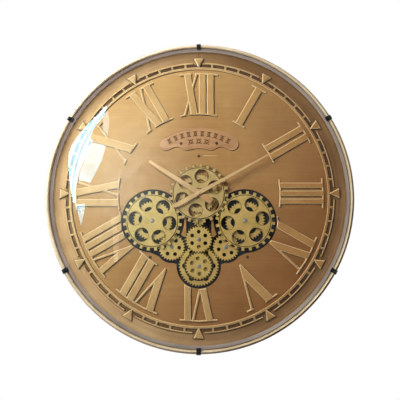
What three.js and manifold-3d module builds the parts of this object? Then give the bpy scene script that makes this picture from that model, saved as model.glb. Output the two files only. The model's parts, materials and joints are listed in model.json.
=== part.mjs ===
// Wall clock with a domed glass, raised Roman numerals and a gear train open to view.
// Millimetres. Every shape is drawn face-on: x to the right, y up, z out from the wall.
// The finished group is then stood up, so that +Z is up and the dial faces -Y.

import * as THREE from 'three';
import { mergeVertices } from 'three/addons/utils/BufferGeometryUtils.js';
import Module from 'manifold-3d';

const wasm = await Module();
wasm.setup();

// Clearances
const seatGap = 0.3; // between pieces that touch
const runGap = 0.35; // round an arbor, pipe or slider that moves

// Sides of a round outline, from the rim down to small screws and arbors
const sides = { rim: 36, pocket: 24, bush: 12, bore: 8, post: 6 };

// Case band, from the wall forward
const caseRadius = 300;
const bandSheet = 1.8;
const rearLipWidth = 16;
const rearLipSheet = 2;
const beadWidth = 8;
const beadRise = 9;
const rimProud = 0.6; // how far the bead stands in front of the glass edge
const shelfWidth = 6;
const shelfDrop = 5; // it thickens towards the band

// Dial pan
const dialFront = 36; // from the wall to the dial's face
const dialSheet = 1.2;
const coveRise = 8;
const coveWidth = 17.9;
const seatWidth = 6.8; // flat border under the edge of the glass

// Glass and gasket
const glassPlay = 1.4; // between the glass and the bead
const glassSheet = 3;
const glassFlange = 7.2;
const domeRise = 36;
const gasketSheet = 0.8;
const gasketInset = 0.5;

// Clips round the rim
const clipCount = 6;
const clipWidth = 8.4;
const clipSheet = 1.6;
const clipToe = 3; // reach over the glass
const clipLeg = 26; // length down the outside of the band

// Chapter ring
const ringThickness = 3;
const railMargin = 2.9; // from the rail to the foot of the cove
const railWidth = 2;
const ladderWidth = 13.2; // from the inside of the ring to the outside of the rail
const ringInnerWidth = 4.3;
const minuteBarWidth = 3.4;
const railGapHalfAngle = 2.6; // degrees either side of an hour, where the rail stops
const markerOverlap = 0.7; // of a marker's tip on the ring
const markerReach = 6.1; // of its base, out over the cove
const markerTipWidth = 1.5;
const markerBaseWidth = 20;
const markerThickness = 4.4;
const markerLift = 1.6; // underside of the markers above the dial

// Numerals
const numeralGap = 7.4; // from the numerals' heads to the chapter ring
const numeralRise = 26.4; // from the plaque's top edge to the numerals' feet
const strokeWidth = 14; // thick stroke of the commonest numerals
const numeralThickness = 4;
const serifHeight = 3;
const headSerifReach = 8.5;
const footSerifReach = 6;
const innerSerifReach = 1.6; // towards the other stroke of an X or V
const hairline = 4; // thin stroke of V and X
const apexWidth = 3;
const numeralMargin = 0.8; // from a numeral's foot to the edge of a gear pocket
const serifStep = THREE.MathUtils.degToRad(9); // angle of one straight piece of a serif
const numerals = [ // in strokes: thick stroke, gap between signs, width of a V or X
  { text: 'I', hour: 1, thick: 1.03, gap: 0.36, wide: 2.86 },
  { text: 'II', hour: 2, thick: 0.9, gap: 0.43, wide: 2.86 },
  { text: 'III', hour: 3, thick: 0.73, gap: 0.37, wide: 2.86 },
  { text: 'IV', hour: 4, thick: 1, gap: 0.64, wide: 2.86 },
  { text: 'V', hour: 5, thick: 1.14, gap: 0.36, wide: 3.5 },
  { text: 'VI', hour: 6, thick: 0.89, gap: 0.13, wide: 2.86 },
  { text: 'VII', hour: 7, thick: 1, gap: 0.21, wide: 2.86 },
  { text: 'VIII', hour: 8, thick: 0.86, gap: 0.29, wide: 2.43 },
  { text: 'IX', hour: 9, thick: 1, gap: 0.4, wide: 2.14 },
  { text: 'X', hour: 10, thick: 1.14, gap: 0.36, wide: 2.64 },
  { text: 'XI', hour: 11, thick: 1, gap: 0.2, wide: 2.14 },
  { text: 'XII', hour: 12, thick: 0.96, gap: 0.19, wide: 1.96 },
];

// Plaque
const plaqueRadius = 130.6; // top edge, an arc about the pivot
const plaqueLobeRadius = 13;
const plaqueLobeAngle = 33.8; // degrees either side of twelve
const plaqueSheet = 2;
const plaqueLobeEnd = 12; // degrees past straight down, where a round end meets the lower edge
const crestAcross = 43; // points of the wavy lower edge, and how far under the top edge they lie
const crestDrop = 38.4;
const dipAcross = 25.4;
const dipDrop = 45;
const middleDrop = 41.3;
const plaqueScrewAcross = 35;
const plaqueScrewDrop = 31.5;

// Screws through plaque and dial
const screwHeadRadius = 2.7;
const screwHeadRise = 1.4;
const screwShankRadius = 1.4;
const plaqueScrewBite = 1; // past the back of the dial
const topScrewDrop = 56.6; // from the plaque's top edge to the tray's top screw
const lowScrewOutset = 3.7; // from a cog wheel's centre out to the screw under it
const lowScrewDrop = 8; // from that cog wheel's pocket down to it

// Gear train
const gearModule = 1.8;
const addendum = 0.8; // in modules
const dedendum = 1.45; // in modules, down to the bottom of a V-shaped gap
const backlash = 0.34;
const largeTeeth = 42; // left, right, top and lower fine gears
const smallTeeth = 28; // centre, side and front lower gears
const idlerTeeth = 14;
const driveWheelTeeth = 32;
const motorPinionTeeth = 12;
const sideGearAngle = 33.9; // degrees, from the lower gear up and out to each side gear
const cogAngle = 53.6; // degrees, from a side gear up and out to its cog wheel
const motorAngle = 160; // degrees, from the centre gear to the motor pinion
const gearThickness = 3;
const planeGap = 2.3; // between the gears behind the dial's face and those in front
const gearLift = 1; // front gears above the dial

// Cog wheels
const cogTeeth = 24;
const cogClearance = 7; // from the left or right cog wheel to the top fine gear
const cogToothHeight = 5.7;
const cogToothWidth = 6.4;
const cogRimWidth = 2.9; // from the face disc to the bottom of the teeth
const cogDiscRise = 1.5;
const cogWindowMargin = 2.5; // from a window to the edge of the face disc
const cogSpokeWidth = 7.4; // between two windows
const cogPhases = { left: 82.1, right: 84.8, top: 86 }; // degrees of a tooth
const windowPhases = { left: 52.3, right: 67.8, top: 80 }; // degrees of a window

// Windows in the other gears
const windowCount = 6;
const fineHubMargin = 1.6; // from the hub to a window of a fine gear
const fineSpokeWidth = 2;
const smallWindowRadius = 3.3;
const smallHubMargin = 4.3; // from the collar to a window of a small gear
const lowerWindowRadius = 4.6;
const lowerRimWidth = 5.7; // from a window of the lower fine gear to its pitch circle

// Arbors and their bosses
const arborRadius = 3.2;
const arborHeadRadius = 5;
const arborHeadRise = 1.2;
const collarRadius = 7;
const bossRadius = 6.5;
const bossDepth = 4;

// Gear tray
const trayFloor = 2;
const trayDepth = 9; // from the dial's face to the floor of the tray
const trayWall = 2;
const trayMargin = 2.4; // from a cut-out's edge to the tray wall
const pocketMargin = 3.4; // dark gap round the cog wheels, the side gears and the lower gear
const middlePocketHalfWidth = 24.3;
const middlePocketRise = 7.4; // above the idler's centre
const trayLugRadius = 9;

// Hands and what carries them
const minuteAngle = 61.3; // degrees clockwise from twelve
const hourAngle = 303;
const minuteLength = 157.3;
const minuteTail = 60;
const minuteWidth = 9;
const minuteTipWidth = 2.2;
const minuteTailWidth = 0.75;
const minuteWaist = 45; // from the pivot back to its widest place
const hourLength = 114.7;
const hourTail = 30.4;
const hourWidth = 10.6;
const hourTipWidth = 6;
const hourTailWidth = 13;
const handSheet = 1.4;
const handGap = 2.2; // between the two hands
const bushRadius = 5;
const pipeRadius = 3.4;
const minuteArborRadius = 1.7;
const nutAcross = 16;
const nutHeight = 1.8;
const hubRadius = 9;
const handCapRadius = 3.4;
const handCapHeight = 2;

// Movement, motor and rear housing
const movementSize = 56; // square
const movementDepth = 16;
const motorRadius = 12;
const motorDepth = 14;
const gearboxRadius = 17;
const gearboxDepth = 3.6;
const housingHalfWidth = 72;
const housingTop = 48;
const housingBottom = -116;
const housingWall = 2.2;
const housingCorner = 10;
const cellRadius = 7.2;
const cellLength = 50;
const cellCount = 3;
const cellPitch = 15.2;
const cellButtonRadius = 2.7;
const cellButtonHeight = 1.4;
const bayMiddle = 18;
const bayTop = -42;
const bayWall = 1.5;
const doorSheet = 1.8;
const doorMargin = 3;
const hingePinRadius = 0.9;
const hingePinLength = 2;
const knobRadius = 9;
const knobHeight = 4.6;
const knobFlutes = 10;
const fluteDepth = 0.8;
const knobCentre = [14, 12];
const switchInset = 28; // from the side of the housing to the switch's centre
const switchHeight = -12;
const switchTravel = 5;
const sliderSize = [5, 4];
const switchSize = [20, 12];
const switchDepth = 5.5;

// Hanger
const hangerHalfWidth = 34;
const hangerHeight = 39;
const hangerLap = 7; // over the rear lip of the band
const hangerCorner = 4;
const hangerSheet = 1.5;
const keyholeRadius = 5.6;
const keyholeRise = 12; // from the plate's lower edge to the keyhole's centre
const keySlotWidth = 5.6;
const keySlotLength = 13;

// Worked out from the sizes above
const rimInner = caseRadius - beadWidth;
const seatFront = dialFront + coveRise;
const gasketBack = seatFront + seatGap;
const glassBack = gasketBack + gasketSheet + seatGap;
const glassFront = glassBack + glassSheet;
const rimTop = glassFront + rimProud;
const shelfTop = seatFront - dialSheet - seatGap;
const glassRadius = rimInner - glassPlay;
const domeRadius = glassRadius - glassFlange;
const coveOuter = glassRadius - seatWidth;
const flatRadius = coveOuter - coveWidth;
const railOuter = flatRadius - railMargin;
const ringInner = railOuter - ladderWidth;
const markerTipRadius = ringInner + ringInnerWidth - markerOverlap;
const markerBaseRadius = flatRadius + markerReach;
const numeralInner = plaqueRadius + numeralRise;
const numeralOuter = ringInner - numeralGap;
const lipRadius = caseRadius - rearLipWidth;
const hangerTop = lipRadius + hangerLap;
const hangerBottom = hangerTop - hangerHeight;
const keyholeCentre = hangerBottom + keyholeRise;
const dialBack = dialFront - dialSheet;
const trayFront = dialFront - trayDepth;
const trayBack = trayFront - trayFloor;
const frontPlane = dialFront + gearLift;
const rearPlane = frontPlane - planeGap - gearThickness;
const drivePlane = (rearPlane + trayFront - gearThickness) / 2;
const cogFace = frontPlane + gearThickness + cogDiscRise;
const topCogPlane = cogFace + seatGap + runGap;
const hubFront = topCogPlane + gearThickness + cogDiscRise;
const nutBack = hubFront + seatGap;
const hourPlane = nutBack + nutHeight + 2 * seatGap;
const minutePlane = hourPlane + handSheet + handGap;
const housingFront = trayBack - seatGap;

// Colours of the finishes: colour, roughness, metalness
const finishes = {
  antiqueBrass: [0xa87b48, 0.42, 0.85],
  brightBrass: [0xc6a04f, 0.32, 0.9],
  paleBrass: [0xc9a571, 0.4, 0.85],
  copper: [0xc69069, 0.45, 0.8],
  blackened: [0x1c1b1d, 0.6, 0.3],
  blackPlastic: [0x222225, 0.55, 0],
  handTan: [0xd2ab80, 0.5, 0.4],
  steel: [0xa7a9ab, 0.35, 1],
  darkSteel: [0x4a3a2c, 0.5, 0.8],
  rubber: [0x2a2a2a, 0.8, 0],
  cell: [0x3a3d42, 0.4, 0.4],
  glass: [0xdfe6e4, 0.05, 0],
};

const clock = new THREE.Group();

// Turns a three.js geometry into a closed solid that can be cut and joined
function solid(geometry) {
  const bare = geometry.clone();
  bare.deleteAttribute('normal');
  bare.deleteAttribute('uv');
  const merged = mergeVertices(bare);
  const at = merged.getAttribute('position');
  const corners = merged.getIndex();
  const [a, b, c] = [new THREE.Vector3(), new THREE.Vector3(), new THREE.Vector3()];
  const triangles = [];
  let volume = 0;
  for (let i = 0; i < corners.count; i += 3) {
    const face = [corners.getX(i), corners.getX(i + 1), corners.getX(i + 2)];
    if (new Set(face).size < 3) continue;
    a.fromBufferAttribute(at, face[0]);
    b.fromBufferAttribute(at, face[1]);
    c.fromBufferAttribute(at, face[2]);
    volume += a.dot(b.cross(c));
    triangles.push(face);
  }
  if (volume < 0) triangles.forEach((face) => face.reverse());
  return new wasm.Manifold(new wasm.Mesh({
    numProp: 3,
    vertProperties: Float32Array.from(at.array),
    triVerts: Uint32Array.from(triangles.flat()),
  }));
}

// Adds one named piece to the clock
function piece(name, body, finish, x = 0, y = 0, turn = 0) {
  const mesh = body.getMesh();
  const geometry = new THREE.BufferGeometry();
  geometry.setAttribute('position', new THREE.BufferAttribute(mesh.vertProperties, 3));
  geometry.setIndex(new THREE.BufferAttribute(mesh.triVerts, 1));
  geometry.computeVertexNormals();
  const [color, roughness, metalness] = finishes[finish];
  const material = new THREE.MeshStandardMaterial({ color, roughness, metalness });
  if (finish === 'glass') Object.assign(material, { transparent: true, opacity: 0.3 });
  const made = new THREE.Mesh(geometry, material);
  made.name = name;
  made.position.set(x, y, 0);
  made.rotation.z = turn;
  clock.add(made);
}

const rad = THREE.MathUtils.degToRad;
const point = (x, y) => new THREE.Vector2(x, y);
const polar = (radius, angle) => point(radius * Math.cos(angle), radius * Math.sin(angle));

// A ring of points round (x, y)
function circle(x, y, radius, steps, start = 0) {
  return Array.from({ length: steps }, (_, k) =>
    polar(radius, start + (2 * Math.PI * k) / steps).add(point(x, y)));
}

// A flat plate of an outline, between two heights above the wall
function plate(outline, back, front, holes = []) {
  const shape = new THREE.Shape(outline);
  shape.holes = holes.map((hole) => new THREE.Path(hole));
  const depth = front - back;
  const geometry = new THREE.ExtrudeGeometry(shape, { depth, bevelEnabled: false });
  return solid(geometry.translate(0, 0, back));
}

// A round plate or post
function disc(radius, back, front, steps, x = 0, y = 0) {
  return plate(circle(x, y, radius, steps), back, front);
}

// A box from its limits in x and y
function box(left, right, bottom, top, back, front) {
  const corners = [point(left, bottom), point(right, bottom), point(right, top), point(left, top)];
  return plate(corners, back, front);
}

// A profile of [radius, height] turned about the clock's axis
function revolve(profile) {
  const points = profile.map(([radius, height]) => point(radius, height));
  return solid(new THREE.LatheGeometry(points, sides.rim).rotateX(Math.PI / 2));
}

function union(parts) {
  return parts.reduce((whole, part) => whole.add(part));
}

function cut(body, tools) {
  return tools.reduce((rest, tool) => rest.subtract(tool), body);
}

// A point of the rolled bead, or of a line that runs outside it
const beadAngles = [0, 60, 120];
function beadPoint(angle, grow = 0) {
  const half = beadWidth / 2;
  const radius = caseRadius - half + (half + grow) * Math.cos(rad(angle));
  return [radius, rimTop - beadRise + (beadRise + grow) * Math.sin(rad(angle))];
}

function caseBand() {
  const inside = caseRadius - bandSheet;
  const shelfRadius = rimInner - shelfWidth;
  return revolve([
    [lipRadius, 0],
    [caseRadius, 0],
    ...beadAngles.map((angle) => beadPoint(angle)),
    [rimInner, shelfTop],
    [shelfRadius, shelfTop],
    [inside, shelfTop - shelfDrop],
    [inside, rearLipSheet],
    [lipRadius, rearLipSheet],
    [lipRadius, 0],
  ]);
}

// A quarter ellipse from the flat dial up to the border under the glass
function covePoint(share, grow) {
  const angle = share * Math.acos(grow / (coveRise + grow));
  return [
    flatRadius + (coveWidth + grow) * Math.sin(angle),
    seatFront - (coveRise + grow) * Math.cos(angle),
  ];
}

// The pan before its openings are cut; the cove takes its points at shares of its arc
function dialBlank() {
  const frontShares = [0, 0.4, 0.75, 1];
  const backShares = [1, 0.5, 0];
  const panRadius = rimInner - seatGap;
  return revolve([
    [0, dialFront],
    ...frontShares.map((share) => covePoint(share, 0)),
    [panRadius, seatFront],
    [panRadius, seatFront - dialSheet],
    ...backShares.map((share) => covePoint(share, dialSheet)),
    [0, dialBack],
  ]);
}

function domedGlass() {
  const sphere = (domeRadius ** 2 + domeRise ** 2) / (2 * domeRise);
  const sag = (radius) => sphere - Math.sqrt(sphere ** 2 - radius ** 2);
  const domeShares = [0, 0.38, 0.72, 1];
  const radii = domeShares.map((share) => share * domeRadius);
  const curve = (foot) => radii.map((radius) => [radius, foot + domeRise - sag(radius)]);
  return revolve([
    ...curve(glassFront),
    [glassRadius, glassFront],
    [glassRadius, glassBack],
    ...curve(glassBack).reverse(),
  ]);
}

function gasket() {
  const outer = circle(0, 0, glassRadius - gasketInset, sides.rim);
  const inner = circle(0, 0, coveOuter + gasketInset, sides.rim);
  return plate(outer, gasketBack, gasketBack + gasketSheet, [inner]);
}

// A clip's profile, from its leg outside the band over the bead to its toe on the glass
function clip() {
  const toe = glassFront + seatGap;
  const outerGap = seatGap + clipSheet;
  const foot = rimTop - beadRise - clipLeg;
  const profile = [
    [caseRadius + seatGap, foot],
    ...beadAngles.map((angle) => beadPoint(angle, seatGap)),
    [rimInner - seatGap, toe],
    [glassRadius - clipToe, toe],
    [glassRadius - clipToe, toe + clipSheet],
    [rimInner - seatGap, toe + clipSheet],
    ...beadAngles.toReversed().map((angle) => beadPoint(angle, outerGap)),
    [caseRadius + outerGap, foot],
  ].map(([radius, height]) => point(radius, height));
  const extrude = { depth: clipWidth, bevelEnabled: false };
  const geometry = new THREE.ExtrudeGeometry(new THREE.Shape(profile), extrude);
  return solid(geometry.rotateX(Math.PI / 2).translate(0, clipWidth / 2, 0));
}

// Part of a ring between two angles, as an outline
function arcBand(inner, outer, from, to, steps) {
  const share = (k) => from + ((to - from) * k) / steps;
  const outside = Array.from({ length: steps + 1 }, (_, k) => polar(outer, share(k)));
  const inside = Array.from({ length: steps + 1 }, (_, k) => polar(inner, share(steps - k)));
  return [...outside, ...inside];
}

// The ladder between two hours, clockwise: where a bar's side meets the ring or the rail
function ladderSide(angle, radius, side) {
  return polar(radius, angle + (side * minuteBarWidth) / (2 * radius));
}

function chapterRing() {
  const back = dialFront + seatGap;
  const front = back + ringThickness;
  const ringOuter = ringInner + ringInnerWidth;
  const railInner = railOuter - railWidth;
  const gap = rad(railGapHalfAngle);
  const outline = [];
  const holes = [circle(0, 0, ringInner, sides.rim)];
  const markers = [];
  for (let hour = 0; hour < 12; hour += 1) {
    const start = rad(30 * hour);
    const minute = (count) => start + rad(6 * count);
    outline.push(
      polar(ringOuter, start),
      ladderSide(minute(1), ringOuter, -1),
      ladderSide(minute(1), railInner, -1),
      polar(railInner, start + gap),
      polar(railOuter, start + gap),
      ...[1, 2, 3, 4].map((count) => polar(railOuter, minute(count))),
      polar(railOuter, minute(5) - gap),
      polar(railInner, minute(5) - gap),
      ladderSide(minute(4), railInner, 1),
      ladderSide(minute(4), ringOuter, 1),
    );
    for (const count of [1, 2, 3]) {
      holes.push([
        ladderSide(minute(count), ringOuter, 1),
        ladderSide(minute(count), railInner, 1),
        ladderSide(minute(count + 1), railInner, -1),
        ladderSide(minute(count + 1), ringOuter, -1),
      ]);
    }
    const across = (radius, width) => [-1, 1].map((side) =>
      point(radius, (side * width) / 2).rotateAround(point(0, 0), start));
    const tip = across(markerTipRadius, markerTipWidth);
    const base = across(markerBaseRadius, markerBaseWidth);
    const lift = dialFront + markerLift;
    markers.push(plate([tip[0], base[0], base[1], tip[1]], lift, lift + markerThickness));
  }
  return union([plate(outline, back, front, holes), ...markers]);
}

// A point of a numeral at a distance from its middle line, on a circle about the pivot
const onCircle = (across, radius) => point(across, Math.sqrt(radius ** 2 - across ** 2));

// The strokes of one sign, and the parts of its head and foot that carry a serif
function signStrokes(sign, left, right, thick) {
  const foot = numeralInner + serifHeight / 2;
  const head = numeralOuter - serifHeight / 2;
  const stroke = (footLeft, headLeft, across) => [
    onCircle(footLeft, foot),
    onCircle(footLeft + across, foot),
    onCircle(headLeft + across, head),
    onCircle(headLeft, head),
  ];
  const legs = [[left, left + thick], [right - hairline, right]];
  if (sign === 'I') {
    const whole = [[left, right]];
    return { outlines: [stroke(left, left, thick)], head: whole, foot: whole };
  }
  if (sign === 'X') {
    const crossed = [stroke(right - thick, left, thick), stroke(left, right - hairline, hairline)];
    return { outlines: crossed, head: legs, foot: [[left, left + hairline], [right - thick, right]] };
  }
  const wide = right - left;
  const tip = (left + right - apexWidth) / 2;
  const share = (thick + hairline - apexWidth) / (wide - apexWidth);
  const crotch = tip + thick + (left - tip) * share;
  const vee = [
    onCircle(tip, numeralInner),
    onCircle(tip + apexWidth, numeralInner),
    onCircle(right, head),
    onCircle(right - hairline, head),
    onCircle(crotch, foot + (head - foot) * share),
    onCircle(left + thick, head),
    onCircle(left, head),
  ];
  return { outlines: [vee], head: legs, foot: [] };
}

// Serifs on a circle: neighbouring signs share one, crossed strokes keep their own
function serifRow(spans, inner, reach, joinAll) {
  const groups = [];
  for (const { from, to, sign } of spans) {
    const last = groups.at(-1);
    if (last && (joinAll || last.sign !== sign)) Object.assign(last, { to, sign });
    else groups.push({ from, to, sign });
  }
  return groups.map(({ from, to }, k) => {
    const before = k === 0 ? reach : innerSerifReach;
    const after = k === groups.length - 1 ? reach : innerSerifReach;
    const low = Math.asin((from - before) / inner);
    const high = Math.asin((to + after) / inner);
    const steps = Math.ceil((high - low) / serifStep);
    return arcBand(inner, inner + serifHeight, Math.PI / 2 - high, Math.PI / 2 - low, steps);
  });
}

// One numeral, upright at twelve
function numeral({ text, hour, ...strokes }) {
  const [thick, gap, wide] = [strokes.thick, strokes.gap, strokes.wide].map((n) => n * strokeWidth);
  const across = (sign) => (sign === 'I' ? thick : wide);
  const width = [...text].reduce((sum, sign) => sum + across(sign) + gap, -gap);
  const outlines = [];
  const serifs = { head: [], foot: [] };
  let left = -width / 2;
  [...text].forEach((letter, sign) => {
    const made = signStrokes(letter, left, left + across(letter), thick);
    outlines.push(...made.outlines);
    for (const end of ['head', 'foot']) {
      serifs[end].push(...made[end].map(([from, to]) => ({ from, to, sign })));
    }
    left += across(letter) + gap;
  });
  const joinHead = text.length > 1 && text.includes('V');
  outlines.push(...serifRow(serifs.head, numeralOuter - serifHeight, headSerifReach, joinHead));
  outlines.push(...serifRow(serifs.foot, numeralInner, footSerifReach, false));
  const back = dialFront + seatGap;
  const front = back + numeralThickness;
  const body = union(outlines.map((outline) => plate(outline, back, front)));
  const pockets = gearPockets().map(([x, y, radius]) => [x, y, radius + numeralMargin]);
  const heads = trayScrews.map(([x, y]) => [x, y, screwHeadRadius + seatGap]);
  return cut(body, [...pockets, ...heads].map(([x, y, radius]) => {
    const at = point(x, y).rotateAround(point(0, 0), rad(30 * hour));
    return disc(radius, back - 1, front + 1, sides.pocket, at.x, at.y);
  }));
}

// The plaque: an arched top, round ends and a wavy lower edge
function plaqueOutline() {
  const top = Math.PI / 2;
  const arch = rad(plaqueLobeAngle);
  const lobe = polar(plaqueRadius - plaqueLobeRadius, top - arch);
  const lobeTurn = Math.PI - arch + rad(plaqueLobeEnd);
  const [archSteps, lobeSteps, waveSteps] = [4, 5, 16];
  const lobePoint = (k) =>
    polar(plaqueLobeRadius, top - arch - (lobeTurn * k) / lobeSteps).add(lobe);
  const outline = [];
  for (let k = -archSteps; k <= archSteps; k += 1) {
    outline.push(polar(plaqueRadius, top - (arch * k) / archSteps));
  }
  for (let k = 1; k <= lobeSteps; k += 1) outline.push(lobePoint(k));
  const crest = point(crestAcross, plaqueRadius - crestDrop);
  const dip = point(dipAcross, plaqueRadius - dipDrop);
  const right = [outline.at(-1), crest, dip];
  const mirrored = right.toReversed().map(({ x, y }) => point(-x, y));
  const wave = new THREE.SplineCurve([...right, point(0, plaqueRadius - middleDrop), ...mirrored]);
  outline.push(...wave.getPoints(waveSteps).slice(1));
  for (let k = lobeSteps - 1; k >= 1; k -= 1) outline.push(point(-lobePoint(k).x, lobePoint(k).y));
  return outline;
}

const plaqueScrewHeight = plaqueRadius - plaqueScrewDrop;
const plaqueScrews = [[-plaqueScrewAcross, plaqueScrewHeight], [plaqueScrewAcross, plaqueScrewHeight]];

function plaque() {
  const back = dialFront + seatGap;
  const radius = screwShankRadius + seatGap;
  const holes = plaqueScrews.map(([x, y]) => circle(x, y, radius, sides.post));
  return plate(plaqueOutline(), back, back + plaqueSheet, holes);
}

// A pan-head screw whose head seats on a face
function screw(seat, length) {
  const head = disc(screwHeadRadius, seat, seat + screwHeadRise, sides.bore);
  return head.add(disc(screwShankRadius, seat - length, seat + screwHeadRise / 2, sides.post));
}

const pitchRadius = (teeth) => (gearModule * teeth) / 2;
const tipRadius = (teeth) => pitchRadius(teeth) + addendum * gearModule;

// A toothed outline: straight flanks from a V-shaped gap up to a narrow flat tip
function gearOutline(teeth) {
  const pitch = pitchRadius(teeth);
  const depth = dedendum * gearModule;
  const tip = tipRadius(teeth);
  const atPitch = Math.PI / (2 * teeth) - backlash / (2 * pitch);
  const taper = (Math.PI / teeth - atPitch) / depth;
  const half = atPitch - taper * (tip - pitch);
  const outline = [];
  for (let k = 0; k < teeth; k += 1) {
    const middle = (2 * Math.PI * k) / teeth;
    outline.push(polar(pitch - depth, middle - Math.PI / teeth));
    outline.push(polar(tip, middle - half), polar(tip, middle + half));
  }
  return outline;
}

// Round windows on a ring
function windows(ring, radius, steps, phase = 0) {
  return Array.from({ length: windowCount }, (_, k) => {
    const { x, y } = polar(ring, phase + (2 * Math.PI * k) / windowCount);
    return circle(x, y, radius, steps);
  });
}

// The ring and radius of windows between a hub and a spoke's width apart
function hubWindows(hub, margin, spoke) {
  const radius = hub + margin - spoke;
  return [hub + margin + radius, radius];
}

const fineWindow = hubWindows(hubRadius, fineHubMargin, fineSpokeWidth);
const smallWindow = [collarRadius + smallHubMargin + smallWindowRadius, smallWindowRadius];
const lowerWindow = [pitchRadius(largeTeeth) - lowerRimWidth - lowerWindowRadius, lowerWindowRadius];

function gear(teeth, back, holes = []) {
  return plate(gearOutline(teeth), back, back + gearThickness, holes);
}

// An arbor from its boss in the tray to a head on its foremost gear
function arbor(front) {
  const post = disc(arborRadius, trayFront - bossDepth, front + arborHeadRise / 2, sides.post);
  const back = front + seatGap;
  return post.add(disc(arborHeadRadius, back, back + arborHeadRise, sides.bore));
}

// The collar behind a front gear, fixed to the gear behind it
const collar = (back) => disc(collarRadius, back + 1, frontPlane - seatGap, sides.bore);
const arborHole = circle(0, 0, arborRadius + seatGap, sides.bore);

// Where each gear turns, and the phase that puts its teeth in mesh with the gear that drives it
function place(driver, teeth, angle) {
  const distance = pitchRadius(driver.teeth) + pitchRadius(teeth);
  const ahead = (driver.phase - angle) * (driver.teeth / teeth);
  const at = polar(distance, angle);
  return {
    teeth,
    x: driver.x + at.x,
    y: driver.y + at.y,
    phase: angle + Math.PI + Math.PI / teeth - ahead,
  };
}

const top = { teeth: largeTeeth, x: 0, y: 0, phase: Math.PI / 2 };
const idler = place(top, idlerTeeth, -Math.PI / 2);
const centre = place(idler, smallTeeth, -Math.PI / 2);
const lowerFront = place(centre, smallTeeth, -Math.PI / 2);
const lower = { ...lowerFront, teeth: largeTeeth, phase: Math.PI / 2 };
const driveWheel = { ...centre, teeth: driveWheelTeeth, phase: 0 };
const motorPinion = place(driveWheel, motorPinionTeeth, rad(motorAngle));
const leftSide = place(lower, smallTeeth, Math.PI - rad(sideGearAngle));
const rightSide = place(lower, smallTeeth, rad(sideGearAngle));
const left = place(leftSide, largeTeeth, Math.PI - rad(cogAngle));
const right = place(rightSide, largeTeeth, rad(cogAngle));

// The cog wheels come close to the top fine gear, and their windows fill the face disc
const cogTipRadius = Math.hypot(left.x, left.y) - tipRadius(largeTeeth) - cogClearance;
const cogRootRadius = cogTipRadius - cogToothHeight;
const cogDiscRadius = cogRootRadius - cogRimWidth;
const cogWindowRadius = (cogDiscRadius - cogWindowMargin - cogSpokeWidth) / 3;
const cogWindowRing = 2 * cogWindowRadius + cogSpokeWidth;

// A cog wheel: square teeth, a raised face disc and six large windows
function cogWheel(back, phase, windowPhase, bore) {
  const outline = [];
  const half = cogToothWidth / 2;
  for (let k = 0; k < cogTeeth; k += 1) {
    const centre = phase + (2 * Math.PI * k) / cogTeeth;
    const foot = Math.asin(half / cogRootRadius);
    const tip = Math.asin(half / cogTipRadius);
    outline.push(polar(cogRootRadius, centre - foot), polar(cogTipRadius, centre - tip));
    outline.push(polar(cogTipRadius, centre + tip), polar(cogRootRadius, centre + foot));
  }
  const front = back + gearThickness;
  const wheel = plate(outline, back, front);
  const face = disc(cogDiscRadius, back + gearThickness / 2, front + cogDiscRise, sides.pocket);
  const openings = [...windows(cogWindowRing, cogWindowRadius, sides.bore, windowPhase), bore];
  const cutters = openings.map((hole) => plate(hole, back - 1, front + cogDiscRise + 1));
  return cut(wheel.add(face), cutters);
}

// Outline of the straight band that joins round outlines, each [x, y, radius]
function hull(rounds, steps = sides.pocket) {
  const points = rounds.flatMap(([x, y, radius]) => circle(x, y, radius, steps));
  points.sort((a, b) => a.x - b.x || a.y - b.y);
  const turn = (a, b, c) => (b.x - a.x) * (c.y - a.y) - (b.y - a.y) * (c.x - a.x);
  const half = (row) => {
    const kept = [];
    for (const next of row) {
      while (kept.length > 1 && turn(kept.at(-2), kept.at(-1), next) <= 0) kept.pop();
      kept.push(next);
    }
    return kept.slice(0, -1);
  };
  return [...half(points), ...half(points.toReversed())];
}

const cogPocket = cogTipRadius + pocketMargin;
const lowerPocket = tipRadius(largeTeeth) + pocketMargin;
const sidePocket = tipRadius(smallTeeth) + pocketMargin;
const lowScrewAcross = right.x + lowScrewOutset;
const lowScrewHeight = right.y - cogPocket - lowScrewDrop;
const trayScrews = [
  [0, plaqueRadius - topScrewDrop],
  [-lowScrewAcross, lowScrewHeight],
  [lowScrewAcross, lowScrewHeight],
];

// The three round pockets that reach out to the numerals
function gearPockets() {
  return [
    [left.x, left.y, cogPocket],
    [right.x, right.y, cogPocket],
    [lower.x, lower.y, lowerPocket],
  ];
}

// The openings in the dial through which the gears show
function dialCutOut(back, front) {
  const tilt = sidePocket / 2;
  const middle = middlePocketHalfWidth;
  return [
    ...gearPockets().map(([x, y, radius]) => disc(radius, back, front, sides.pocket, x, y)),
    disc(sidePocket, back, front, sides.pocket, leftSide.x, leftSide.y),
    disc(sidePocket, back, front, sides.pocket, rightSide.x, rightSide.y),
    box(-middle, middle, lower.y, idler.y + middlePocketRise, back, front),
    plate(hull([
      [left.x, left.y - cogPocket + tilt, tilt],
      [right.x, right.y - cogPocket + tilt, tilt],
      [0, lower.y, tilt],
    ]), back, front),
  ];
}

function dialPan() {
  const through = [dialBack - 1, dialFront + 1];
  const shank = screwShankRadius + seatGap;
  const screwHoles = [...trayScrews, ...plaqueScrews];
  return cut(dialBlank(), [
    ...dialCutOut(...through),
    disc(bushRadius + seatGap, ...through, sides.bush),
    ...screwHoles.map(([x, y]) => disc(shank, ...through, sides.post, x, y)),
  ]);
}

// The tray's outline: round the pockets, with a lug at each screw
function trayOutline(grow) {
  const reach = trayMargin + grow;
  return hull([
    [left.x, left.y, cogPocket + reach],
    [right.x, right.y, cogPocket + reach],
    [lower.x, lower.y, lowerPocket + reach],
    ...trayScrews.map(([x, y]) => [x, y, trayLugRadius - trayWall + grow]),
  ]);
}

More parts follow.
